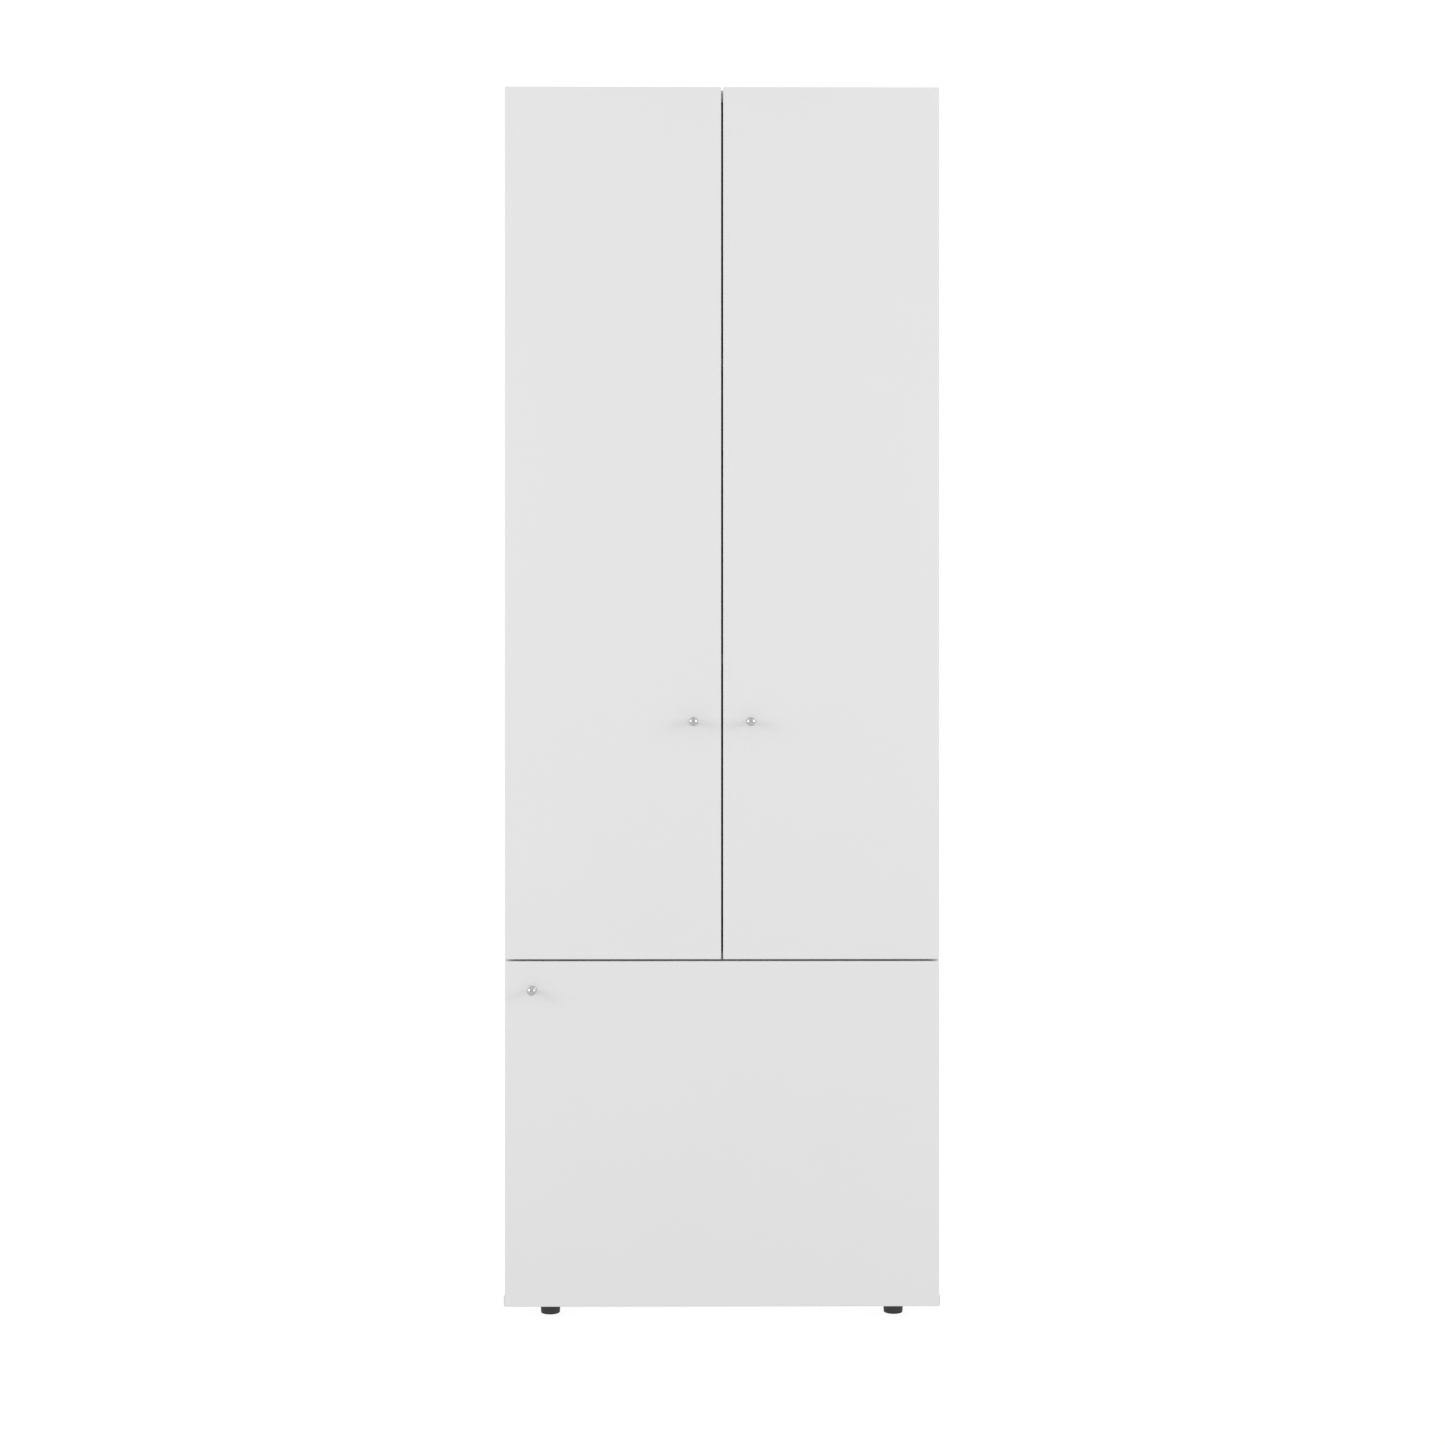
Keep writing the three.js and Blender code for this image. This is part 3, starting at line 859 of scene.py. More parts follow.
@dataclass
class Carcass:
    """The boards that don't move: sides, top, divider, base plate, back panels."""

    body: str = "carcass"
    board_edge: float = 0.8
    base_edge: float = 3.2
    groove_inset: float = 10.0
    groove_width: float = 4.0
    groove_depth: float = 7.0
    groove_slack: float = 0.5
    hole_radius: float = 2.5
    hole_depth: float = 11.0
    hole_pitch: float = 32.0
    hole_clearance: float = 48.0
    cam_radius: float = 7.5
    cam_depth: float = 12.0
    cam_inset: float = 34.0
    cam_setbacks: Pair = (60.0, 62.0)
    cam_sunk: float = 0.4
    cam_bevel: float = 0.5
    cam_slot: Pair = (3.4, 0.8)
    cam_slot_depth: float = 3.0
    seam_screws_in_row: int = 5
    seam_margin: float = 60.0
    seam_rows: Pair = (4.6, -5.6)

    def build(self) -> None:
        """Builds every board and its fittings."""
        for side in Side:
            self.side_panel(side)
        self.top_panel()
        self.divider()
        self.base_plate()
        self.back_panels()
        self.cams()
        self.seam_screws()

    def groove_y(self) -> Pair:
        """Where the back panels' groove starts and ends in y."""
        rear = box_mm("side_panel_left")[1].y
        return rear - self.groove_inset - self.groove_width, rear - self.groove_inset

    def cam_rows(self) -> Pair:
        """The y of the front and the rear cam fittings."""
        low, high = box_mm("side_panel_left")
        return low.y + self.cam_setbacks[0], high.y - self.cam_setbacks[1]

    def cam_heights(self) -> Pair:
        """The z of the cam fittings in the side panels, at the base and at the top."""
        low, high = box_mm("side_panel_left")
        return low.z + self.cam_inset, high.z - self.cam_inset

    def hole_heights(self) -> list[float]:
        """The z of the holes in a row, each a whole number of pitches from the lower shelf pins.

        Returns:
            The heights, from the lowest up.
        """
        start = round(middle_mm("shelf_pin_lower_front_left").z, 1)
        low, high = box_mm("side_panel_left")
        divider_low, divider_high = box_mm("divider_panel")
        clear = self.hole_clearance
        most = math.ceil(high.z / self.hole_pitch)
        heights = [start + self.hole_pitch * step for step in range(-most, most)]
        inside = [h for h in heights if low.z + clear < h < high.z - clear]
        return [h for h in inside if not divider_low.z - clear / 2 < h < divider_high.z + clear / 2]

    def cam_bore(self) -> Solid:
        """The cutter for a cam fitting's bore, down from z = 0."""
        return Solid.rod(self.cam_radius, -self.cam_depth, OVERRUN, 32)

    def side_panel(self, side: Side) -> None:
        """A side panel with its groove, its rows of holes and the bores for its cam fittings.

        Args:
            side: Which of the two panels.
        """
        name = f"side_panel_{side.word}"
        low, high = box_mm(name)
        inner, inward = inner_face(side), -side.value
        front, rear = self.groove_y()
        x = sorted((inner + inward * OVERRUN, inner - inward * self.groove_depth))
        groove = Solid.board((x[0], front, low.z - OVERRUN), (x[1], rear, high.z + OVERRUN), 0.0)
        board = Solid.board(low, high, self.board_edge).cut(groove)
        rows = [middle_mm(f"shelf_pin_lower_{row}_{side.word}").y for row in ("front", "rear")]
        hole = Solid.rod(self.hole_radius, -self.hole_depth, OVERRUN, 16)
        bore = self.cam_bore()
        holes = Solid()
        for y in rows:
            for z in self.hole_heights():
                holes.beside(hole.copy().placed(facing(Axis.X, inward, (inner, y, z))))
        for y in self.cam_rows():
            for z in self.cam_heights():
                holes.beside(bore.copy().placed(facing(Axis.X, inward, (inner, y, z))))
        board.cut(holes).piece(f"{name}_board", BOARD_WHITE, self.body, [name], CHIP_CORE)

    def top_panel(self) -> None:
        """The top panel lies on the side panels, and is grooved below for the back panel."""
        low, high = box_mm("top_panel")
        board = Solid.board(low, high, self.board_edge).cut(self.plate_groove(low.z))
        board.piece("top_panel_board", BOARD_WHITE, self.body, ["top_panel"], CHIP_CORE)

    def plate_groove(self, face: float) -> Solid:
        """The cutter for a stopped groove in a plate, as long as the back panels are wide.

        Args:
            face: Height of the grooved face.

        Returns:
            The cutter.
        """
        low, high = box_mm("back_panel_upper")
        front, rear = self.groove_y()
        return Solid.board(
            (low.x - self.groove_slack, front, face - self.groove_depth),
            (high.x + self.groove_slack, rear, face + self.groove_depth),
            0.0,
        )

    def divider(self) -> None:
        """The fixed board between the upper and the lower compartment, bored below for its cams."""
        low, high = box_mm("divider_panel")
        bores = Solid()
        for place in self.divider_cams():
            bores.beside(self.cam_bore().placed(place))
        board = Solid.board(low, high, self.board_edge).cut(bores)
        board.piece("divider_board", BOARD_WHITE, self.body, ["divider_panel"], CHIP_CORE)

    def divider_cams(self) -> list[Matrix]:
        """Where the divider's cam fittings are, looking down out of its underside.

        Returns:
            A matrix for each fitting, in millimetres.
        """
        low, high = box_mm("divider_panel")
        ends = (low.x + self.cam_inset, high.x - self.cam_inset)
        return [facing(Axis.Z, -1, (x, y, low.z)) for x in ends for y in self.cam_rows()]

    def base_plate(self) -> None:
        """The base plate under the side panels, with softly rounded long edges."""
        low, high = box_mm("base_plate")
        r = self.base_edge
        x0, x1, z0, z1 = low.x, high.x, low.z, high.z
        outline = [
            *arc((x1 - r, z0 + r), r, -90, 0, 6),
            *arc((x1 - r, z1 - r), r, 0, 90, 6),
            *arc((x0 + r, z1 - r), r, 90, 180, 6),
            *arc((x0 + r, z0 + r), r, 180, 270, 6),
        ]
        plate = Solid.raised(outline, low.y, high.y, Axis.Y).round_edges(self.board_edge, 3)
        plate = plate.cut(self.plate_groove(high.z))
        plate.piece("base_plate_board", BOARD_WHITE, self.body, ["base_plate"], CHIP_CORE)

    def back_panels(self) -> None:
        """The two thin back panels."""
        for level in ("upper", "lower"):
            node = f"back_panel_{level}"
            low, high = box_mm(node)
            Solid.board(low, high, 0.4, 2).piece(f"{node}_board", BACK_WHITE, self.body, [node])

    def cams(self) -> None:
        """The cam fittings that pull the boards together."""
        r, bottom = self.cam_radius - 0.2, -self.cam_depth / 2
        face = -self.cam_sunk
        profile = [
            (0.0, bottom),
            (r, bottom),
            (r, face - self.cam_bevel),
            (r - self.cam_bevel, face),
            (0.0, face),
        ]
        long, half = self.cam_slot
        cross = Solid.board((-long, -half, -self.cam_slot_depth), (long, half, OVERRUN), 0.0)
        other = Solid.board((-half, -long, -self.cam_slot_depth), (half, long, OVERRUN), 0.0)
        cam = Solid.turned(profile, 32).cut(cross.joined(other))
        places = self.divider_cams()
        for side in Side:
            for y in self.cam_rows():
                for z in self.cam_heights():
                    places.append(facing(Axis.X, -side.value, (inner_face(side), y, z)))
        FixingSet("cam_fittings", cam, ZINC, self.body).build(places)

    def seam_screws(self) -> None:
        """Screws through both back panels into the divider's rear edge."""
        head = ScrewHead(radius=3.6, height=1.5).solid()
        low, high = box_mm("back_panel_upper")
        step = (high.x - low.x - 2 * self.seam_margin) / (self.seam_screws_in_row - 1)
        columns = [low.x + self.seam_margin + step * i for i in range(self.seam_screws_in_row)]
        rows = [low.z + height for height in self.seam_rows]
        places = [facing(Axis.Y, 1, (x, high.y, z)) for x in columns for z in rows]
        FixingSet("back_panel_screws", head, ZINC, self.body).build(places)


@dataclass
class Shelving:
    """The two loose shelves and the pins that they lie on."""

    body: str = "carcass"
    edge: float = 0.8
    peg_radius: float = 2.4
    peg_depth: float = 8.0
    collar_radius: float = 3.9
    collar_thickness: float = 1.2
    tongue_half: float = 3.5
    tongue_thickness: float = 3.5

    def build(self) -> None:
        """Builds both shelves with their pins."""
        for level in ("lower", "upper"):
            node = f"shelf_{level}"
            low, high = box_mm(node)
            Solid.board(low, high, self.edge).piece(f"{node}_board", BOARD_WHITE, self.body, [node])
            for row in ("front", "rear"):
                for side in Side:
                    self.pin(level, row, side)

    def pin(self, level: str, row: str, side: Side) -> None:
        """One pin: a peg in the side panel, a collar and a flat tongue under the shelf.

        Args:
            level: The shelf's level.
            row: The row of holes.
            side: The side panel that it is in.
        """
        node = f"shelf_pin_{level}_{row}_{side.word}"
        low, high = box_mm(node)
        inner, inward = inner_face(side), -side.value
        tip = high.x if side is Side.LEFT else low.x
        middle = (low + high) / 2
        peg, depth = self.peg_radius, -self.peg_depth
        collar, top = self.collar_radius, self.collar_thickness
        profile = [
            (0.0, depth),
            (peg - 0.5, depth),
            (peg, depth + 0.5),
            (peg, 0.0),
            (collar, 0.0),
            (collar, top - 0.4),
            (collar - 0.4, top),
            (0.0, top),
        ]
        pin = Solid.turned(profile, 28).placed(facing(Axis.X, inward, (inner, middle.y, middle.z)))
        x = sorted((inner + inward * self.collar_thickness / 2, tip))
        underside, half = box_mm(f"shelf_{level}")[0].z, self.tongue_half
        tongue = Solid.board(
            (x[0], middle.y - half, underside - self.tongue_thickness),
            (x[1], middle.y + half, underside - 0.02),
            0.7,
        )
        pin.joined(tongue).piece(f"{node}_peg", ZINC, self.body, [node])


@dataclass
class Feet:
    """The four round glides."""

    body: str = "carcass"
    taper: float = 1.25
    shoulder: float = 2.6
    rim: float = 1.4
    sole_ring: Pair = (3.2, 2.6)
    sole_relief: float = 0.35

    def build(self) -> None:
        """Builds each glide in its place."""
        for row in ("front", "rear"):
            for side in Side:
                self.foot(f"foot_{row}_{side.word}")

    def foot(self, node: str) -> None:
        """One glide: a straight shoulder under the base plate and a tapered skirt with a round rim.

        Args:
            node: Its node in the frame.
        """
        low, high = box_mm(node)
        radius = (high.x - low.x) / 2
        height = high.z - low.z
        sole, waist, soft = radius - self.taper, height - self.shoulder, 0.3
        ring_inside, ring_outside = (sole - inset for inset in self.sole_ring)
        profile = [
            (0.0, 0.0),
            (ring_inside, 0.0),
            (ring_inside + 0.2, self.sole_relief),
            (ring_outside, 0.0),
            *arc((sole - self.rim, self.rim), self.rim, -80, 0, 5),
            (radius - 0.25, waist - soft),
            (radius - 0.55, waist),
            (radius, waist + 0.5),
            (radius, height - soft),
            (radius - soft, height),
            (0.0, height),
        ]
        centre = (low + high) / 2
        glide = Solid.turned(profile, 64).placed((centre.x, centre.y, low.z))
        glide.piece(f"{node}_glide", FOOT_BLACK, self.body, [node])


# ---- doors ----------------------------------------------------------------------------------------


@dataclass
class CupHinge:
    """One concealed hinge, built in its own frame and put down beside its door.

    In that frame x runs from the side panel's inner face into the cabinet, y from the carcass front
    to the back, and z from the middle of the hinge. It is drawn for the left side panel.
    """

    door: str
    level: str
    side: Side
    carcass: str = "carcass"
    wall: float = 1.2
    flange_thickness: float = 1.0
    flange_overlap: float = 0.5
    mouth_inset: float = 1.7
    mouth_slack: float = 0.8
    bowl_rounds: Pair = (2.0, 2.2)
    rim_bevels: Pair = (0.3, 0.4)
    wing_span: Pair = (-7.5, 14.5)
    wing_corner: float = 7.0
    cup_screws: Pair = (3.5, 22.3)
    pin_hole: float = 1.3
    strap: float = 2.0
    strap_half: float = 6.0
    strap_bend: float = 3.4
    neck: Pair = (10.0, 5.0)
    channel_start: Pair = (3.0, 2.0)
    channel_wall: float = 1.4
    slot_ends: Pair = (41.0, 48.0)
    slot_half: float = 2.6
    arm_screws: Pair = (16.0, 44.5)
    plate_middle: float = 37.0
    plate_wing_half: float = 8.0
    plate_wing_thickness: float = 2.0
    plate_screw_reach: float = 16.0
    rail_half: float = 6.0

    def node(self, piece: str) -> str:
        """The frame's name for a piece of this hinge."""
        return f"hinge_{self.door}_{self.level}_{piece}"

    def place(self) -> Matrix:
        """How the hinge's own frame stands in the wardrobe's.

        Returns:
            The matrix from the one to the other, in millimetres.
        """
        front = box_mm(f"side_panel_{self.side.word}")[0].y
        middle = middle_mm(self.node("plate")).z
        mirror = Matrix.Diagonal((-self.side.value, 1.0, 1.0, 1.0))
        return Matrix.Translation((inner_face(self.side), front, middle)) @ mirror

    def local(self, piece: str) -> tuple[Vector, Vector]:
        """The lowest and highest corner of a piece in the hinge's own frame.

        Args:
            piece: The piece's name, without the hinge's.

        Returns:
            The two corners, in millimetres.
        """
        back = self.place().inverted()
        corners = [back @ corner for corner in box_mm(self.node(piece))]
        return Vector(map(min, *corners)), Vector(map(max, *corners))

    def pin_drill(self, half: float) -> Solid:
        """The cutter for the hole that the pin goes through, that long to either side of the middle."""
        axis = self.pin_axis()
        return Solid.rod(self.pin_hole, -half, half, 24).placed((axis.x, axis.y, 0.0))

    def pin_axis(self) -> Vector:
        """A point on the axis of the pin."""
        low, high = self.local("pin")
        return (low + high) / 2

    def build(self) -> None:
        """Builds the hinge's pieces."""
        self.cup()
        self.pin()
        self.arm()
        self.plate()
        self.screws()

    def cup(self) -> None:
        """The pressed cup in the door, with its flange and two wings."""
        low, high = self.local("cup")
        centre = (low.x + high.x) / 2
        flange = (high.x - low.x) / 2
        top, bottom, wall = high.y, low.y, self.wall
        under = top - self.flange_thickness
        outer, inner = flange - self.flange_overlap, flange - self.mouth_inset
        (outside, inside), (edge, lip) = self.bowl_rounds, self.rim_bevels
        profile = [
            (0.0, bottom),
            *arc((outer - outside, bottom + outside), outside, -90, 0, 5),
            (outer, under),
            (flange, under),
            (flange, top - edge),
            (flange - edge, top),
            (inner + lip, top),
            (inner, top - lip),
            *arc((inner - inside, bottom + wall + inside), inside, 0, -90, 5),
            (0.0, bottom + wall),
        ]
        bowl = Solid.turned(profile, 64, Axis.Y).placed((centre, 0.0, 0.0))
        half, corner = high.z, self.wing_corner
        left, right = (centre + reach for reach in self.wing_span)
        wing_outline = [
            *arc((right - corner, half - corner), corner, 0, 90, 8),
            *arc((left + corner, half - corner), corner, 90, 180, 8),
            *arc((left + corner, corner - half), corner, 180, 270, 8),
            *arc((right - corner, corner - half), corner, 270, 360, 8),
        ]
        wings = Solid.raised(wing_outline, under, top, Axis.Y)
        mouth = Solid.rod(inner + self.mouth_slack, -9.0, 9.0, 64, Axis.Y).placed((centre, under, 0.0))
        cup = bowl.joined(wings.cut(mouth)).cut(self.pin_drill(half=15.0)).placed(self.place())
        cup.piece(self.node("cup_shell"), NICKEL, f"door_{self.door}", [self.node("cup")])

    def pin(self) -> None:
        """The pin across the cup, with rounded ends."""
        low, high = self.local("pin")
        radius, bevel = (high.x - low.x) / 2, 0.3
        profile = [
            (0.0, low.z),
            (radius - bevel, low.z),
            (radius, low.z + bevel),
            (radius, high.z - bevel),
            (radius - bevel, high.z),
            (0.0, high.z),
        ]
        axis = self.pin_axis()
        rod = Solid.turned(profile, 24).placed((axis.x, axis.y, 0.0)).placed(self.place())
        rod.piece(self.node("pin_rod"), PIN_STEEL, f"door_{self.door}", [self.node("pin")])

    def arm(self) -> None:
        """The arm: knuckle, strap, neck and the channel over the mounting plate."""
        low, high = self.local("arm")
        axis, half, wall = self.pin_axis(), self.strap_half, self.channel_wall
        knuckle, bevel = axis.x - low.x, 0.3
        round_end = [
            (0.0, -half),
            (knuckle - bevel, -half),
            (knuckle, bevel - half),
            (knuckle, half - bevel),
            (knuckle - bevel, half),
            (0.0, half),
        ]
        strap = self.arm_strap(axis.x, low.y)
        strap = strap.joined(Solid.turned(round_end, 32).placed((axis.x, axis.y, 0.0)))
        left, front = self.channel_start
        channel = Solid.board((left, front, low.z), high, 1.5, 4)
        hollow_low = (left - OVERRUN, front + wall, low.z + wall)
        hollow_high = (high.x - wall, high.y + OVERRUN, high.z - wall)
        channel = channel.joined(strap).cut(Solid.board(hollow_low, hollow_high, 0.6, 2))
        near, far = self.slot_ends
        slot = [*arc((far, 0.0), self.slot_half, -90, 90, 8), *arc((near, 0.0), self.slot_half, 90, 270, 8)]
        channel = channel.cut(Solid.raised(slot, high.x - 3.0, high.x + OVERRUN, Axis.X))
        channel = channel.cut(self.pin_drill(half=9.0)).placed(self.place())
        channel.piece(self.node("arm_channel"), NICKEL, self.carcass, [self.node("arm")])

    def arm_strap(self, start: float, floor: float) -> Solid:
        """The bent strip from the pin into the channel.

        Args:
            start: The x of the pin.
            floor: The y of the strip's outer face, deep in the cup.

        Returns:
            The strip, without the knuckle round the pin.
        """
        (neck, neck_end), bend = self.neck, self.strap_bend
        centre = (neck - bend, floor + bend)
        outline = [
            (start, floor),
            *arc(centre, bend, -90, 0, 8),
            (neck, neck_end),
            (neck - self.strap, neck_end),
            *arc(centre, bend - self.strap, 0, -90, 6),
            (start, floor + self.strap),
        ]
        return Solid.raised(outline, -self.strap_half, self.strap_half).round_edges(0.35, 2)

    def plate(self) -> None:
        """The mounting plate on the side panel: two round-ended wings and a rail."""
        low, high = self.local("plate")
        middle, half = self.plate_middle, self.plate_wing_half
        outline = [
            *arc((middle, high.z - half), half, 0, 180, 14),
            *arc((middle, half - high.z), half, 180, 360, 14),
        ]
        wing = Solid.raised(outline, low.x, low.x + self.plate_wing_thickness, Axis.X).round_edges(0.4, 2)
        rail = Solid.board((low.x, low.y, -self.rail_half), (high.x, high.y, self.rail_half), 0.8, 3)
        plate = wing.joined(rail).placed(self.place())
        plate.piece(self.node("plate_base"), NICKEL, self.carcass, [self.node("plate")])

    def screws(self) -> None:
        """The screws: two in the cup's wings, two in the plate's wings, two on the arm."""
        cup_low, cup_high = self.local("cup")
        aside, reach = self.cup_screws
        cup_x = (cup_low.x + cup_high.x) / 2 + aside
        in_cup = [(cup_x, cup_high.y, z) for z in (-reach, reach)]
        in_plate = [
            (self.plate_wing_thickness, self.plate_middle, z)
            for z in (-self.plate_screw_reach, self.plate_screw_reach)
        ]
        on_arm = [(self.local("arm")[1].x, y, 0.0) for y in self.arm_screws]
        small, flat = ScrewHead(radius=3.3, height=0.8), ScrewHead(radius=3.0, height=0.9)
        stout = ScrewHead(radius=3.9, height=1.6)
        sets = [
            ("cup_screws", small, f"door_{self.door}", Axis.Y, in_cup),
            ("plate_screws", stout, self.carcass, Axis.X, in_plate),
            ("arm_screws", flat, self.carcass, Axis.X, on_arm),
        ]
        place = self.place()
        for piece, head, body, axis, spots in sets:
            places = [place @ facing(axis, 1, spot) for spot in spots]
            FixingSet(self.node(piece), head.solid(), ZINC, body).build(places)


@dataclass
class Knob:
    """A small turned knob: a flange on the door, a waist and a mushroom head."""

    door: str
    flange: float = 6.8
    flange_height: float = 1.5
    waist: float = 3.7
    waist_reach: float = 7.5
    neck_flare: float = 0.7
    head_depth: float = 4.4
    dome: float = 5.9

    def profile(self, head: float, reach: float) -> list[Pair]:
        """The outline from the door to the tip.

        Args:
            head: Radius of the head.
            reach: How far the knob stands out.

        Returns:
            Pairs of radius and reach.
        """
        rim, widest = 0.5, reach - self.dome
        start, end = self.flange_height, widest - self.head_depth
        points = [(0.0, 0.0), (self.flange, 0.0), (self.flange, start - rim)]
        points += arc((self.flange - rim, start - rim), rim, 18, 90, 4)
        points += quarter((self.flange - rim, start), (self.waist, self.waist_reach), 8)
        neck = self.waist + self.neck_flare
        points += [
            (self.waist + self.neck_flare * t * t, self.waist_reach + (end - self.waist_reach) * t)
            for t in (0.35, 0.7, 1.0)
        ]
        points += quarter((neck, end), (head, widest), 10)
        for step in range(1, 22):
            turn = math.radians(86 * step / 21)
            points.append((head * math.cos(turn), widest + self.dome * math.sin(turn)))
        return [*points, (0.0, reach)]

    def build(self) -> None:
        """Turns the knob and puts it on its door, with its screw behind."""
        node = f"knob_{self.door}"
        low, high = box_mm(node)
        centre = (low + high) / 2
        turned = Solid.turned(self.profile((high.z - low.z) / 2, high.y - low.y), 72)
        turned.placed(facing(Axis.Y, -1, (centre.x, high.y, centre.z)))
        turned.piece(f"{node}_turned", CHROME, f"door_{self.door}", [node])
        back = box_mm(f"door_{self.door}")[1].y
        head = ScrewHead(radius=4.0, height=2.0).solid()
        screw = FixingSet(f"{node}_screw", head, ZINC, f"door_{self.door}")
        screw.build([facing(Axis.Y, 1, (centre.x, back, centre.z))])


@dataclass
class Door:
    """A door leaf with its hinges, its knob and the bumpers on its back."""

    name: str
    side: Side
    levels: Sequence[str]
    bumpers: Sequence[Pair]
    edge: float = 1.2
    bore_radius: float = 17.7
    bore_slack: float = 0.25
    bumper_radius: float = 4.0
    bumper_height: float = 2.2
    bumper_rim: float = 0.5

    @property
    def body(self) -> str:
        """The moving body of this door."""
        return f"door_{self.name}"

    def build(self) -> None:
        """Builds the leaf and everything on it."""
        self.leaf()
        for level in self.levels:
            CupHinge(self.name, level, self.side).build()
        Knob(self.name).build()
        self.stops()

    def leaf(self) -> None:
        """The door board, bored from behind for its hinge cups."""
        low, high = box_mm(self.body)
        bores = Solid()
        for level in self.levels:
            cup_low, cup_high = box_mm(f"hinge_{self.name}_{level}_cup")
            centre = (cup_low + cup_high) / 2
            bore = Solid.rod(self.bore_radius, cup_low.y - self.bore_slack, high.y + OVERRUN, 64, Axis.Y)
            bores.beside(bore.placed((centre.x, 0.0, centre.z)))
        board = Solid.board(low, high, self.edge, 4).cut(bores)
        board.piece(f"{self.body}_leaf", DOOR_WHITE, self.body, [self.body], CHIP_CORE)

    def stops(self) -> None:
        """Soft domes on the back, which meet the carcass as the door closes."""
        back = box_mm(self.body)[1].y
        radius, height, rim = self.bumper_radius, self.bumper_height, self.bumper_rim
        turns = [math.radians(degrees) for degrees in range(0, 90, 15)]
        dome = [(radius * math.cos(turn), rim + (height - rim) * math.sin(turn)) for turn in turns]
        bumper = Solid.turned([(0.0, 0.0), (radius, 0.0), *dome, (0.0, height)], 32)
        places = [facing(Axis.Y, 1, (x, back, z)) for x, z in self.bumpers]
        FixingSet(f"{self.body}_bumpers", bumper, BUMPER_CLEAR, self.body).build(places)


@dataclass
class DoorSet:
    """The three doors."""

    bumper_from_edge: float = 11.0
    bumper_from_end: float = 30.0
    bumper_below_divider: float = 5.5

    def build(self) -> None:
        """Builds the upper pair and the lower door."""
        top = middle_mm("top_panel").z
        divider = box_mm("divider_panel")[1].z - self.bumper_below_divider
        tall = ("low", "mid", "high")
        for side in Side:
            name = f"upper_{side.word}"
            low, high = box_mm(f"door_{name}")
            free = high.x - self.bumper_from_edge if side is Side.LEFT else low.x + self.bumper_from_edge
            Door(name, side, tall, [(free, top), (free, divider)]).build()
            log.info("door %s with %d hinges", name, len(tall))
        low, high = box_mm("door_lower")
        over_panel = middle_mm("side_panel_left").x
        ends = [(over_panel, low.z + self.bumper_from_end), (over_panel, high.z - self.bumper_from_end)]
        short = ("low", "high")
        Door("lower", Side.RIGHT, short, ends).build()
        log.info("door lower with %d hinges", len(short))


# ---- studio ---------------------------------------------------------------------------------------


@dataclass(frozen=True)
class CameraStand:
    """The camera in front of the doors, level, at half the object's height."""

    distance: float = 3.6
    height: float = 0.967
    turn: float = 0.35
    seen_width: float = 2.328
    shift: float = 0.0006

    def build(self) -> None:
        """Puts the camera up and makes it the scene's camera."""
        data = bpy.data.cameras.new("front_camera")
        data.sensor_width = 36.0
        data.lens = data.sensor_width * self.distance / self.seen_width
        data.clip_end = 100.0
        camera = bpy.data.objects.new("front_camera", data)
        bpy.context.scene.collection.objects.link(camera)
        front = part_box("door_lower")[0].y
        turn = math.radians(self.turn)
        x = self.shift - math.sin(turn) * self.distance
        y = front - math.cos(turn) * self.distance
        camera.location = (x, y, self.height)
        camera.rotation_euler = (math.radians(90), 0.0, -turn)
        bpy.context.scene.camera = camera


@dataclass(frozen=True)
class SoftBox:
    """A large soft light that looks level at the middle of the room."""

    name: str
    azimuth: float
    height: float
    distance: float
    size: Pair
    power: float

    def build(self) -> None:
        """Puts the light up."""
        data = bpy.data.lights.new(self.name, "AREA")
        data.shape = "RECTANGLE"
        data.size, data.size_y = self.size
        data.energy = self.power
        light = bpy.data.objects.new(self.name, data)
        bpy.context.scene.collection.objects.link(light)
        turn = math.radians(self.azimuth)
        place = Vector((math.sin(turn) * self.distance, -math.cos(turn) * self.distance, self.height))
        light.location = place
        aim = Vector((0.0, 0.0, self.height)) - place
        light.rotation_euler = aim.to_track_quat("-Z", "Y").to_euler()


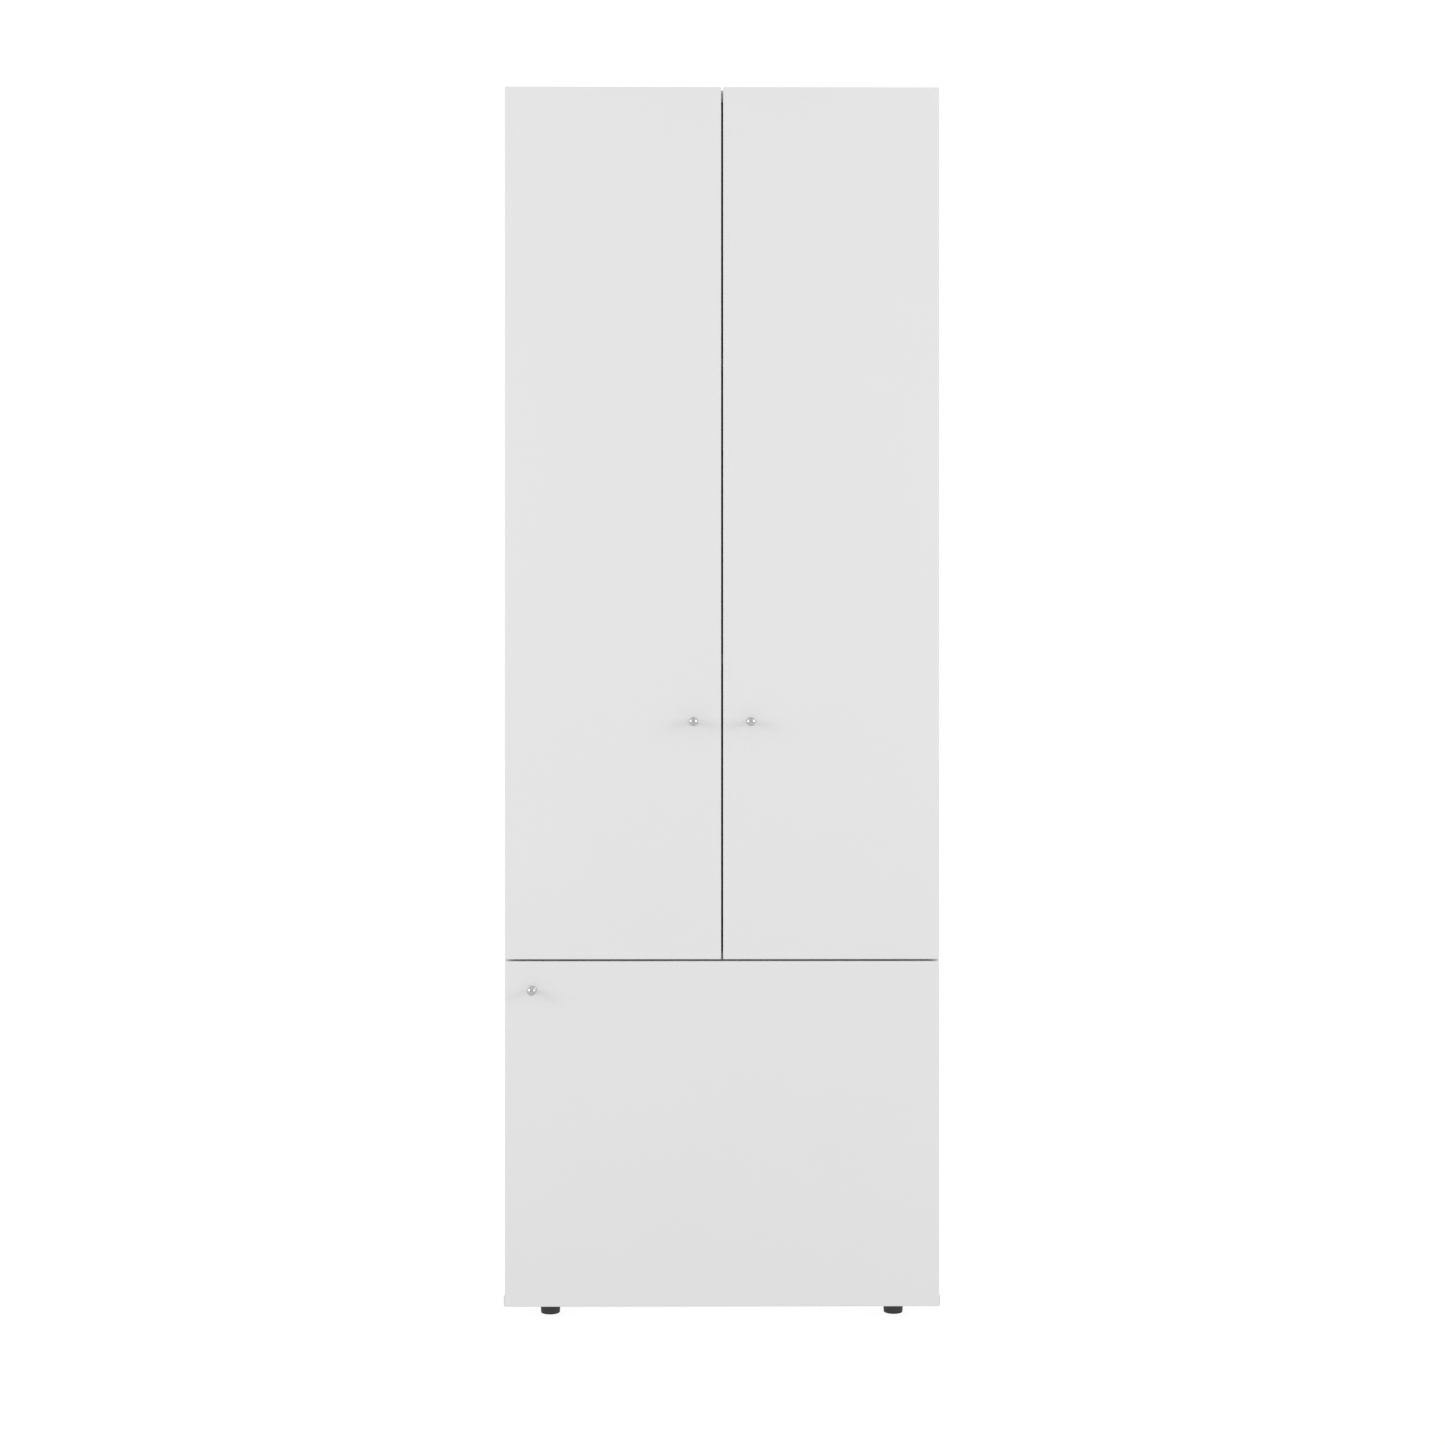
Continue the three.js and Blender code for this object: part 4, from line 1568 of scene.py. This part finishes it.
@dataclass(frozen=True)
class Studio:
    """A white room: a pale floor, an even sky and a soft box on either side."""

    floor_half: float = 40.0
    floor_glow: float = 0.59
    floor_shine_back: float = 0.2
    seen_glow: float = 0.92
    seen_shade: float = 0.14
    sky_front: float = 0.66
    sky_side: float = 1.0
    sky_lift: float = 0.12
    sky_seen: float = 1.02
    boxes: Sequence[SoftBox] = (
        SoftBox("box_left", -60.0, 1.55, 3.0, (1.5, 1.3), 17.0),
        SoftBox("box_right", 60.0, 1.55, 3.0, (1.5, 1.3), 17.0),
    )

    def build(self) -> None:
        """Builds the sky, the floor and the lights."""
        self.sky()
        self.floor()
        for box in self.boxes:
            box.build()
        bpy.context.scene.view_settings.view_transform = "Standard"

    def sky(self) -> None:
        """Even light, stronger from the sides and from above, on a background that reads as white."""
        world = bpy.data.worlds.new("studio")
        bpy.context.scene.world = world
        world.use_nodes = True
        graph = Graph(world.node_tree)
        direction = graph.add("ShaderNodeTexCoord").outputs["Generated"]
        parts = graph.add("ShaderNodeSeparateXYZ", {"Vector": direction}).outputs
        aside = graph.math("ABSOLUTE", parts["X"], 0.0)
        panels = graph.add(
            "ShaderNodeMapRange",
            {
                "Value": aside,
                "From Min": 0.35,
                "From Max": 0.8,
                "To Min": self.sky_front,
                "To Max": self.sky_side,
            },
            interpolation_type="SMOOTHSTEP",
        ).outputs["Result"]
        rise = graph.add(
            "ShaderNodeMapRange",
            {"Value": parts["Z"], "From Min": 0.2, "From Max": 1.0, "To Max": self.sky_lift},
        ).outputs["Result"]
        level = graph.math("ADD", panels, rise)
        light = graph.add("ShaderNodeBackground", {"Color": WHITE, "Strength": level})
        white = graph.add("ShaderNodeBackground", {"Color": WHITE, "Strength": self.sky_seen})
        self.by_ray(graph, light, white, "ShaderNodeOutputWorld")

    def floor(self) -> None:
        """The pale floor, so bright that only the closest shadows show on it."""
        half = self.floor_half
        mesh = bpy.data.meshes.new("floor")
        corners = [(-half, -half, 0), (half, -half, 0), (half, half, 0), (-half, half, 0)]
        mesh.from_pydata(corners, [], [(0, 1, 2, 3)])
        item = bpy.data.objects.new("floor", mesh)
        bpy.context.scene.collection.objects.link(item)
        material = bpy.data.materials.new("floor_pale")
        material.use_nodes = True
        graph = Graph(material.node_tree)
        lit = self.glowing(graph, self.floor_glow, self.floor_shine_back)
        seen = self.glowing(graph, self.seen_glow, self.seen_shade)
        self.by_ray(graph, lit, seen, "ShaderNodeOutputMaterial")
        mesh.materials.append(material)

    def glowing(self, graph: Graph, glow: float, shade: float) -> bpy.types.Node:
        """A floor shader that glows by itself and takes shadows on the rest.

        Args:
            graph: The floor's node tree.
            glow: Its own light.
            shade: Share of the light on it that it throws back.

        Returns:
            The node that adds both.
        """
        own = graph.add("ShaderNodeEmission", {"Color": WHITE, "Strength": glow})
        back = graph.add("ShaderNodeBsdfDiffuse", {"Color": (shade, shade, shade, 1.0)})
        both = graph.add("ShaderNodeAddShader")
        graph.tree.links.new(own.outputs[0], both.inputs[0])
        graph.tree.links.new(back.outputs[0], both.inputs[1])
        return both

    def by_ray(self, graph: Graph, light: bpy.types.Node, seen: bpy.types.Node, output: str) -> None:
        """Uses one shader for light that reaches the object and another for what the camera sees.

        Args:
            graph: The tree of the world or the material.
            light: The shader for light that reaches the object.
            seen: The shader for what the camera sees.
            output: Type of the tree's output node.
        """
        straight = graph.add("ShaderNodeLightPath").outputs["Is Camera Ray"]
        mix = graph.add("ShaderNodeMixShader", {"Fac": straight})
        graph.tree.links.new(light.outputs[0], mix.inputs[1])
        graph.tree.links.new(seen.outputs[0], mix.inputs[2])
        graph.add(output, {"Surface": mix.outputs[0]})


def main() -> None:
    """Builds the camera, the studio and every piece of the wardrobe."""
    logging.basicConfig(level=logging.INFO, format="%(name)s: %(message)s")
    CameraStand().build()
    Studio().build()
    log.info("camera and studio are up")
    steps: list[tuple[str, Callable[[], None]]] = [
        ("carcass", Carcass().build),
        ("shelves and pins", Shelving().build),
        ("feet", Feet().build),
        ("doors", DoorSet().build),
    ]
    for name, build in steps:
        build()
        log.info("%s built", name)


if __name__ == "__main__":
    main()
